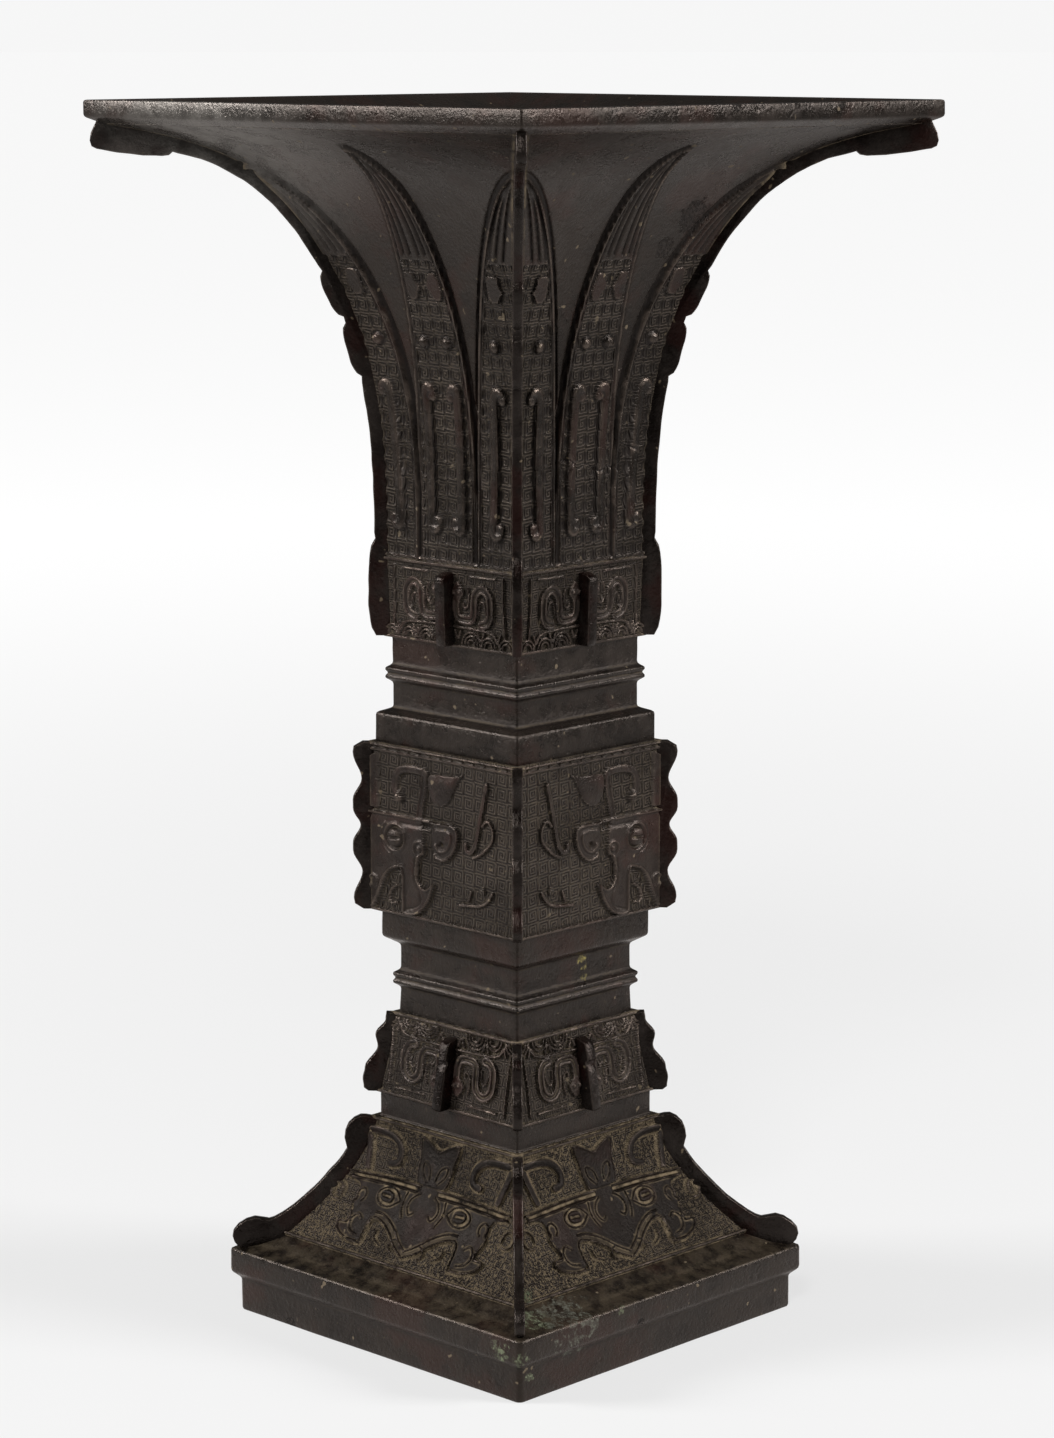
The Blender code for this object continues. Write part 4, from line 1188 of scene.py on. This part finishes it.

# blemishes: (colour, place, reach, depth of the dent); the black ones paint the shade of dents, cracks and
# holes, except the two at depth 0.4, which are dark corroded patches
PATINA_SPOTS = (
    (PALE_GREEN, (61.0, -54.0, 23.0), 9.0, 0.0),
    (PALE_GREEN, (67.5, -66.0, 14.0), 5.5, 0.0),
    (PALE_GREEN, (59.0, -67.5, 17.0), 6.5, 0.0),
    (PALE_GREEN, (65.3, -61.0, 8.0), 3.4, 0.0),
    (PALE_GREEN, (66.0, -22.0, 20.4), 4.2, 0.0),
    (GREEN_FILM_AND_SHEEN, (63.5, -42.0, 22.4), 19.0, 0.0),
    (DULL_YELLOW, (26.9, 3.5, 122.8), 4.2, 0.0),
    (DULL_YELLOW, (26.9, 4.0, 117.6), 3.0, 0.0),
    (SHADE_AND_STAIN_BLACK, (96.8, -4.0, 399.6), 2.6, 1.0),
    (SHADE_AND_STAIN_BLACK, (96.8, 24.0, 399.6), 2.2, 1.0),
    (SHADE_AND_STAIN_BLACK, (96.8, 45.0, 399.6), 2.8, 1.0),
    (SHADE_AND_STAIN_BLACK, (58.0, -28.0, 371.0), 1.6, 1.0),
    (SHADE_AND_STAIN_BLACK, (50.0, 30.0, 364.0), 11.0, 0.4),
    (SHADE_AND_STAIN_BLACK, (44.0, 22.0, 354.0), 6.0, 0.4),
    (SHADE_AND_STAIN_BLACK, (32.4, -22.0, 201.0), 1.5, 1.0),
    (SHADE_AND_STAIN_BLACK, (32.4, -21.3, 198.6), 1.3, 1.0),
    (SHADE_AND_STAIN_BLACK, (32.4, -22.0, 196.0), 1.4, 1.0),
    (SHADE_AND_STAIN_BLACK, (32.4, -13.5, 199.6), 1.1, 1.0),
    (SHADE_AND_STAIN_BLACK, (31.2, 26.5, 134.2), 1.5, 1.0),
    (SHADE_AND_STAIN_BLACK, (31.2, 28.0, 131.6), 1.4, 1.0),
    (SHADE_AND_STAIN_BLACK, (-40.0, -65.3, 0.6), 4.0, 1.0),
    (SHADE_AND_STAIN_BLACK, (67.8, -12.0, 13.8), 2.6, 1.0),
)
FOOT_SPOTS = (
    (PALE_GREEN, (54.0, -50.0, 30.0), 6.0, 0.0),
)


def squared_lines(graph):
    """Fine squared spirals in the ground's cells, from 0 in the cut lines to 1 on the ridges."""
    across = graph.plain("SUBTRACT", graph.plain("FRACT", graph.mark("cell_across")), 0.5)
    along = graph.plain("SUBTRACT", graph.plain("FRACT", graph.mark("cell_along")), 0.5)
    reach = graph.plain("MAXIMUM", graph.plain("ABSOLUTE", across), graph.plain("ABSOLUTE", along))
    angle = graph.plain("MULTIPLY", graph.plain("ARCTAN2", along, across), 0.5 / math.pi)
    turns = graph.plain("MULTIPLY", reach, SPIRAL_TURNS)
    phase = graph.plain("FRACT", graph.plain("SUBTRACT", turns, angle))
    wave = graph.plain("ABSOLUTE", graph.plain("SUBTRACT", graph.plain("MULTIPLY", phase, 2.0), 1.0))
    return graph.span(wave, 0.2, 0.8)


class Bronze:
    """Patinated bronze: mottled brown-black, worn on crests and dirty in the hollows, with the hollows' shade
    painted in black and a grey highlight painted high on the mouth.
    """

    def __init__(self, name):
        self.material = bpy.data.materials.new(name)
        self.material.use_nodes = True
        self.graph = Graph(self.material.node_tree)
        self.where = self.graph.node("ShaderNodeTexCoord").outputs["Object"]
        self.cloud = self.graph.noise(self.where, *CLOUD)
        self.mottle = self.graph.noise(self.where, *MOTTLE)
        self.hollow = self.graph.mark("hollow")
        self.ground = self.graph.mark("ground")
        self.lines = self.graph.times(squared_lines(self.graph), self.ground)
        sharp = self.graph.span(self.graph.mark("crest"), 0.40, 1.0, 0.0, 0.8)
        self.worn = self.graph.times(sharp, self.graph.span(self.mottle, 0.40, 0.60, 0.15, 0.85))

    def metal_colour(self, dark, light, red):
        """Mottled metal with reddish patches, a dusty ground, worn crests, shade painted black into the cut
        lines and hollows, and a grey highlight painted high on the mouth.
        """
        graph = self.graph
        patch = graph.noise(self.where, *PATCH)
        both = graph.sums("ADD", graph.times(self.cloud, 0.5), graph.times(self.mottle, 0.5))
        base = graph.mix(graph.span(both, 0.40, 0.60), dark, light)
        base = graph.mix(graph.times(graph.span(patch, 0.50, 0.64), 0.7), base, red)
        dusty = graph.times(self.ground, graph.span(patch, 0.36, 0.60, 0.25, 0.75))
        base = graph.mix(dusty, base, GROUND_DUST)
        # painted shade: the fine cut lines of the ground, which are only a bump, are darkened towards black
        cut = graph.times(self.ground, graph.span(self.lines, 0.1, 0.7, 0.90, 0.0))
        base = graph.mix(cut, base, SHADE_AND_STAIN_BLACK)
        # painted shade: hollows, creases, cell pits, the strips beside the corner flanges and the panel edges
        # go towards black
        base = graph.mix(graph.span(self.hollow, 0.05, 0.7, 0.0, 0.9), base, SHADE_AND_STAIN_BLACK)
        base = graph.mix(self.worn, base, WORN_EDGE)
        # painted highlight: a grey sheen laid into the colour high on the mouth
        gap = graph.distance(self.where, PAINTED_SHEEN_SPOT)
        painted_sheen = graph.span(gap, PAINTED_SHEEN_FULL * MM, PAINTED_SHEEN_REACH * MM, 0.90, 0.0)
        painted_sheen = graph.times(painted_sheen, graph.span(self.mottle, 0.36, 0.62, 0.4, 1.0))
        return graph.mix(painted_sheen, base, PAINTED_SHEEN_GREY)

    def dirt(self, dirt_share, speckle):
        """Soil where it settles, fine specks on the ground and a few stray ones anywhere."""
        graph = self.graph
        clumps = graph.span(graph.noise(self.where, *CLUMP), 0.34, 0.60)
        soil = graph.times(graph.span(graph.mark("dust"), 0.08, 0.60), clumps)
        fine = graph.span(graph.noise(self.where, *FINE_SPECK), 0.47, 0.62, 0.0, speckle)
        fine = graph.times(graph.times(fine, self.ground), graph.span(self.cloud, 0.36, 0.62, 0.3, 1.0))
        stray = graph.span(graph.noise(self.where, *STRAY_SPECK), 0.74, 0.78, 0.0, 0.6)
        return graph.sums("MAXIMUM", graph.times(soil, dirt_share), graph.sums("MAXIMUM", fine, stray))

    def blemished(self, base, soil, spots):
        """Colour, dirt and dents with ragged spots on them; the dents are None where there are no spots."""
        graph = self.graph
        blotch = graph.noise(self.where, *BLOTCH)
        breaks = graph.span(graph.noise(self.where, *BREAK_UP), 0.46, 0.60, 0.30, 1.0)
        dents = None
        for tint, spot, reach, depth in spots:
            near = graph.span(graph.distance(self.where, spot), reach * MM * 0.35, reach * MM, 1.0, 0.0)
            ragged = graph.plain("ADD", graph.plain("MULTIPLY", near, 0.25 + 0.15 * depth), blotch)
            ragged = graph.times(graph.span(ragged, 0.70, 0.80), breaks)
            base = graph.mix(ragged, base, tint)
            dent = graph.times(ragged, depth)
            dents = dent if dents is None else graph.sums("ADD", dents, dent)
            soil = graph.sums("MAXIMUM", soil, graph.times(ragged, 0.8))
        return base, soil, dents

    def roughness(self, soil, gloss):
        """Roughness of the metal, rougher in hollows and dirt and smoother on worn crests."""
        graph = self.graph
        rough = graph.span(self.mottle, 0.3, 0.7, gloss - 0.08, gloss + 0.14)
        rough = graph.blend_values(graph.times(self.ground, 0.7), rough, gloss + 0.05)
        rough = graph.blend_values(graph.times(self.hollow, 0.7), rough, HOLLOW_ROUGHNESS)
        rough = graph.blend_values(self.worn, rough, gloss - 0.04)
        return graph.blend_values(soil, rough, DIRT_ROUGHNESS)

    def metal_share(self, soil):
        """How metallic the surface is: most on worn crests, not at all under dirt."""
        metal = self.graph.blend_values(self.worn, METAL_SHARE, WORN_METAL_SHARE)
        return self.graph.times(metal, self.graph.span(soil, 0.0, 0.6, 1.0, 0.0))

    def bumps(self, dents):
        """Pitted grain, the ground's cut lines and the dents."""
        graph = self.graph
        grain = graph.noise(self.where, *GRAIN)
        surface = graph.sums("ADD", graph.times(self.mottle, 0.6), graph.times(grain, 0.4))
        surface = graph.times(surface, graph.span(graph.noise(self.where, *PIT), 0.24, 0.33, 0.6, 1.0))
        bump = graph.bump(surface, 0.7, GRAIN_DEPTH)
        bump = graph.bump(self.lines, 1.0, LINE_DEPTH, bump)
        if dents is not None:
            bump = graph.bump(dents, 1.0, DENT_DEPTH, bump, invert=True)
        return bump


def bronze(name, dark, light, red, dirt_share, speckle, gloss, shine, spots=()):
    """A bronze surface; gloss is its roughness where it is clean, shine its specular level."""
    patina = Bronze(name)
    base = patina.metal_colour(dark, light, red)
    soil = patina.dirt(dirt_share, speckle)
    base, soil, dents = patina.blemished(patina.graph.mix(soil, base, TAN), soil, spots)
    shader = patina.material.node_tree.nodes["Principled BSDF"]
    patina.graph.feed(shader.inputs["Base Color"], base)
    patina.graph.feed(shader.inputs["Roughness"], patina.roughness(soil, gloss))
    patina.graph.feed(shader.inputs["Metallic"], patina.metal_share(soil))
    shader.inputs["Specular IOR Level"].default_value = shine
    shader.inputs["Specular Tint"].default_value = WARM_TINT
    patina.graph.feed(shader.inputs["Normal"], patina.bumps(dents))
    return patina.material


def plain_material(name, tone, rough):
    """A plain surface of one tone."""
    made = bpy.data.materials.new(name)
    made.use_nodes = True
    shader = made.node_tree.nodes["Principled BSDF"]
    shader.inputs["Base Color"].default_value = tone
    shader.inputs["Roughness"].default_value = rough
    return made


PATINA = bronze("patina", colour(0.006, 0.0045, 0.0035), colour(0.015, 0.0110, 0.0085),
                colour(0.021, 0.0090, 0.0065), 0.80, 0.15, 0.26, 0.38, PATINA_SPOTS)
CARVED = bronze("carved_patina", colour(0.008, 0.0050, 0.0040), colour(0.019, 0.0130, 0.0100),
                colour(0.026, 0.0100, 0.0075), 0.80, 0.20, 0.31, 0.40)
FOOT_PATINA = bronze("foot_patina", colour(0.003, 0.0022, 0.0018), colour(0.007, 0.0050, 0.0040),
                     colour(0.010, 0.0050, 0.0040), 1.0, 0.85, 0.44, 0.12, FOOT_SPOTS)
EDGE_PATINA = bronze("flange_patina", colour(0.004, 0.0025, 0.0020), colour(0.019, 0.0150, 0.0130),
                     colour(0.015, 0.0045, 0.0036), 0.30, 0.0, 0.20, 0.20)


def keep(piece, material):
    """Give a piece its surface and its place in the frame."""
    piece.data.materials.clear()
    piece.data.materials.append(material)
    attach(piece, BODY)
    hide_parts(NODE)


# how sharply a profile has to turn to count as a full crest or hollow
BEND_GAIN = 1.6

# dirt on the slope of the slab, laid on thickly so that the upward slope comes out lighter as if lit from
# above (painted light), dirt in the core's hollows and wear on its edges
SLOPE_DUST_AND_LIGHT = 0.24
CORE_HOLLOW_DUST = 0.30
CORE_WEAR = 0.62

# mesh of the core: steps on each straight, in each rounded corner and along the profile
STRAIGHT_STEPS = 16
CORNER_STEPS = 4
PROFILE_STEP = 2.6


def bends(line):
    """How hollow and how sharp a profile is at each of its points, each from 0 to 1."""
    spots = np.array(line)
    run = np.diff(spots, axis=0)
    run /= np.maximum(np.linalg.norm(run, axis=1), 1e-6)[:, None]
    turn = np.zeros(len(spots))
    turn[1:-1] = run[:-1, 0] * run[1:, 1] - run[:-1, 1] * run[1:, 0]
    return np.clip(turn * BEND_GAIN, 0.0, 1.0), np.clip(-turn * BEND_GAIN, 0.0, 1.0)


def on_slope(half, level):
    """Whether a point of the profile lies on the slab's slope."""
    return SLAB_TOP - 0.3 < level < FOOT_LOW + 0.3 and half > FOOT_LOW_HALF - 1.0


def core_piece():
    """Rim, necks, rings, block edges, slab and foot rim with the whole inside, in one closed wall."""
    line = inner_points() + outer_points() + under_points()
    line = with_steps(eased_corners(line, EDGE_ROUND), PROFILE_STEP)
    points, faces = turned_core(line, STRAIGHT_STEPS, CORNER_STEPS)
    spots = np.array(points)
    wave = 0.10 * lumps(spots[:, 0] + spots[:, 1], spots[:, 2] * 1.3, 34.0, 5)
    wave += 0.05 * lumps(spots[:, 0] - spots[:, 1], spots[:, 2], 11.0, 6)
    spots[:, :2] *= 1.0 + (wave / np.maximum(np.hypot(spots[:, 0], spots[:, 1]), 8.0))[:, None]
    spots[:, :2] = np.clip(spots[:, :2], -RIM_HALF, RIM_HALF)
    around = len(points) // len(line)
    # the core's hollow mark paints shade black into the inner bends of the profile
    hollow, crest = bends(line)
    # painted light: tan dust on the slab's slope lightens it as if lit from above
    slope_dust_and_light = [SLOPE_DUST_AND_LIGHT if on_slope(half, level) else 0.0 for half, level in line]
    marks = {"hollow": hollow, "dust": hollow * CORE_HOLLOW_DUST + slope_dust_and_light, "crest": crest * CORE_WEAR}
    marks = {mark: np.repeat(values, around) for mark, values in marks.items()}
    keep(new_object("vessel_core", spots, faces, marks), PATINA)


def panels():
    """The four sides of every decorated panel, finer on the two sides that the photograph shows."""
    for side in range(4):
        front = side < 2
        keep(skin("flare", side, flare_half, FLARE_LOW, FLARE_TOP, 0.50 if front else 1.1,
                  leaf_columns, draw_flare, LEAF_CELL, 0.12, LEAF_LOW + LEAF_SPAN), PATINA)
        keep(skin("upper_band", side, band_half, BAND_LOW, FLARE_LOW, 0.30 if front else 0.7,
                  even_columns(190, 84), draw_band, BAND_CELL, 0.28), CARVED)
        keep(skin("mask_panel", side, panel_half, PANEL_LOW, PANEL_TOP, 0.30 if front else 0.7,
                  even_columns(220, 92), draw_panel, PANEL_CELL, 0.28), CARVED)
        keep(skin("lower_band", side, lower_half, LOWER_LOW, LOWER_TOP, 0.30 if front else 0.7,
                  even_columns(190, 84), draw_lower, BAND_CELL, 0.36), CARVED)
        keep(skin("foot_panel", side, foot_half, FOOT_LOW, FOOT_TOP, 0.31 if front else 0.8,
                  even_columns(280, 110), draw_foot, FOOT_CELL, 1.0), FOOT_PATINA)


def flanges():
    """Scalloped flanges at the corners and short ones in the middle of the bands."""
    corners = (("flare", flare_flange_outline()), ("block", block_flange_outline()),
               ("lower", lower_flange_outline()), ("foot", foot_flange_outline()))
    upper = middle_flange_outline(FLARE_LOW - 2.6, BAND_LOW + 0.4, BAND_TOP_HALF, BAND_LOW_HALF, False)
    lower = middle_flange_outline(LOWER_TOP - 3.6, LOWER_LOW + 0.4, LOWER_TOP_HALF + 0.5, LOWER_LOW_HALF, True)
    middles = (("upper", upper, 200), ("lower", lower, 210))
    for corner in range(4):
        side_angle = corner * math.pi / 2
        corner_angle = math.pi / 4 + side_angle
        for index, (name, outline) in enumerate(corners):
            seed = 100 + corner * 10 + index
            piece = flange(f"{name}_flange_{corner}", outline, FLANGE_THICK, corner_angle, seed)
            keep(piece, EDGE_PATINA)
        for name, outline, seed in middles:
            name = f"{name}_middle_flange_{corner}"
            piece = flange(name, outline, MIDDLE_FLANGE_THICK, side_angle, seed + corner)
            keep(piece, EDGE_PATINA)


# floor, light and camera

CAMERA_AZIMUTH = 44.2
CAMERA_DISTANCE = 1.2313
CAMERA_HEIGHT = 0.4233
CAMERA_PITCH = -10.258
CAMERA_TURN = -0.179
CAMERA_FOCUS = 96.04
SENSOR = 36.0

FLOOR_RADIUS = 60.0
FLOOR_TONE = 0.22
FLOOR_GLOW_NEAR = 0.61
FLOOR_GLOW_FAR = 0.905
TABLE_REACH = 0.45
ROOM_GLOW = 0.10
HORIZON_GLOW = 0.925
SKY_GLOW = 0.30


def floor_material():
    """Pale floor with a glow of its own; the light it throws back comes from round the object only."""
    made = plain_material("floor_pale", colour(FLOOR_TONE, FLOOR_TONE, FLOOR_TONE), 0.9)
    graph = Graph(made.node_tree)
    shader = made.node_tree.nodes["Principled BSDF"]
    place = graph.node("ShaderNodeTexCoord").outputs["Object"]
    reach = graph.node("ShaderNodeVectorMath", {0: place}, operation="LENGTH").outputs["Value"]
    seen = graph.span(reach, 0.2, 2.2, FLOOR_GLOW_NEAR, FLOOR_GLOW_FAR)
    cast = graph.span(reach, TABLE_REACH, 2.0 * TABLE_REACH, FLOOR_GLOW_NEAR, ROOM_GLOW)
    glow = graph.blend_values(graph.node("ShaderNodeLightPath").outputs["Is Camera Ray"], cast, seen)
    shader.inputs["Emission Color"].default_value = colour(1.0, 1.0, 1.0)
    graph.feed(shader.inputs["Emission Strength"], glow)
    return made


def sky():
    """Bright behind the object; the room itself, which the bronze reflects, is dim."""
    world = bpy.data.worlds.new("studio")
    world.use_nodes = True
    graph = Graph(world.node_tree)
    direction = graph.node("ShaderNodeTexCoord").outputs["Generated"]
    upward = graph.node("ShaderNodeSeparateXYZ", {0: direction}).outputs["Z"]
    background = world.node_tree.nodes["Background"]
    seen = graph.span(upward, 0.06, 0.45, HORIZON_GLOW, SKY_GLOW)
    camera_ray = graph.node("ShaderNodeLightPath").outputs["Is Camera Ray"]
    graph.feed(background.inputs["Strength"], graph.blend_values(camera_ray, ROOM_GLOW, seen))
    background.inputs["Color"].default_value = colour(1.0, 1.0, 1.0)
    bpy.context.scene.world = world


# lamps: (name, place, size, power), all turned to one spot on the vase
LAMP_AIM = Vector((0.0, 0.0, 0.2))
LAMPS = (
    ("left_box", (-1.35, -1.55, 1.15), 0.7, 54.0),
    ("right_box", (1.70, 1.05, 1.15), 0.7, 50.0),
    ("front_box", (0.9, -1.4, 1.7), 0.4, 16.0),
)


def stage():
    """Pale floor that runs to the horizon, and soft light from large lamps."""
    floor = bpy.data.meshes.new("floor")
    work = bmesh.new()
    bmesh.ops.create_circle(work, cap_ends=True, segments=96, radius=FLOOR_RADIUS)
    work.to_mesh(floor)
    work.free()
    ground = bpy.data.objects.new("floor", floor)
    bpy.context.scene.collection.objects.link(ground)
    floor.materials.append(floor_material())
    sky()
    for name, place, size, power in LAMPS:
        light = bpy.data.lights.new(name, "AREA")
        light.size = size
        light.energy = power
        lamp = bpy.data.objects.new(name, light)
        lamp.location = place
        lamp.rotation_mode = "QUATERNION"
        lamp.rotation_quaternion = (Vector(place) - LAMP_AIM).to_track_quat("Z", "Y")
        bpy.context.scene.collection.objects.link(lamp)


def camera():
    """Camera at the photograph's viewing angle."""
    view = bpy.data.cameras.new("camera")
    view.sensor_width = SENSOR
    view.lens = CAMERA_FOCUS
    view.clip_start = 0.05
    view.clip_end = 100.0
    eye = bpy.data.objects.new("camera", view)
    around = math.radians(CAMERA_AZIMUTH)
    eye.location = (CAMERA_DISTANCE * math.sin(around), -CAMERA_DISTANCE * math.cos(around), CAMERA_HEIGHT)
    eye.rotation_euler = (math.radians(90.0 + CAMERA_PITCH), 0.0, around + math.radians(CAMERA_TURN))
    bpy.context.scene.collection.objects.link(eye)
    bpy.context.scene.camera = eye


core_piece()
panels()
flanges()
stage()
camera()
bpy.context.scene.view_settings.view_transform = "Standard"
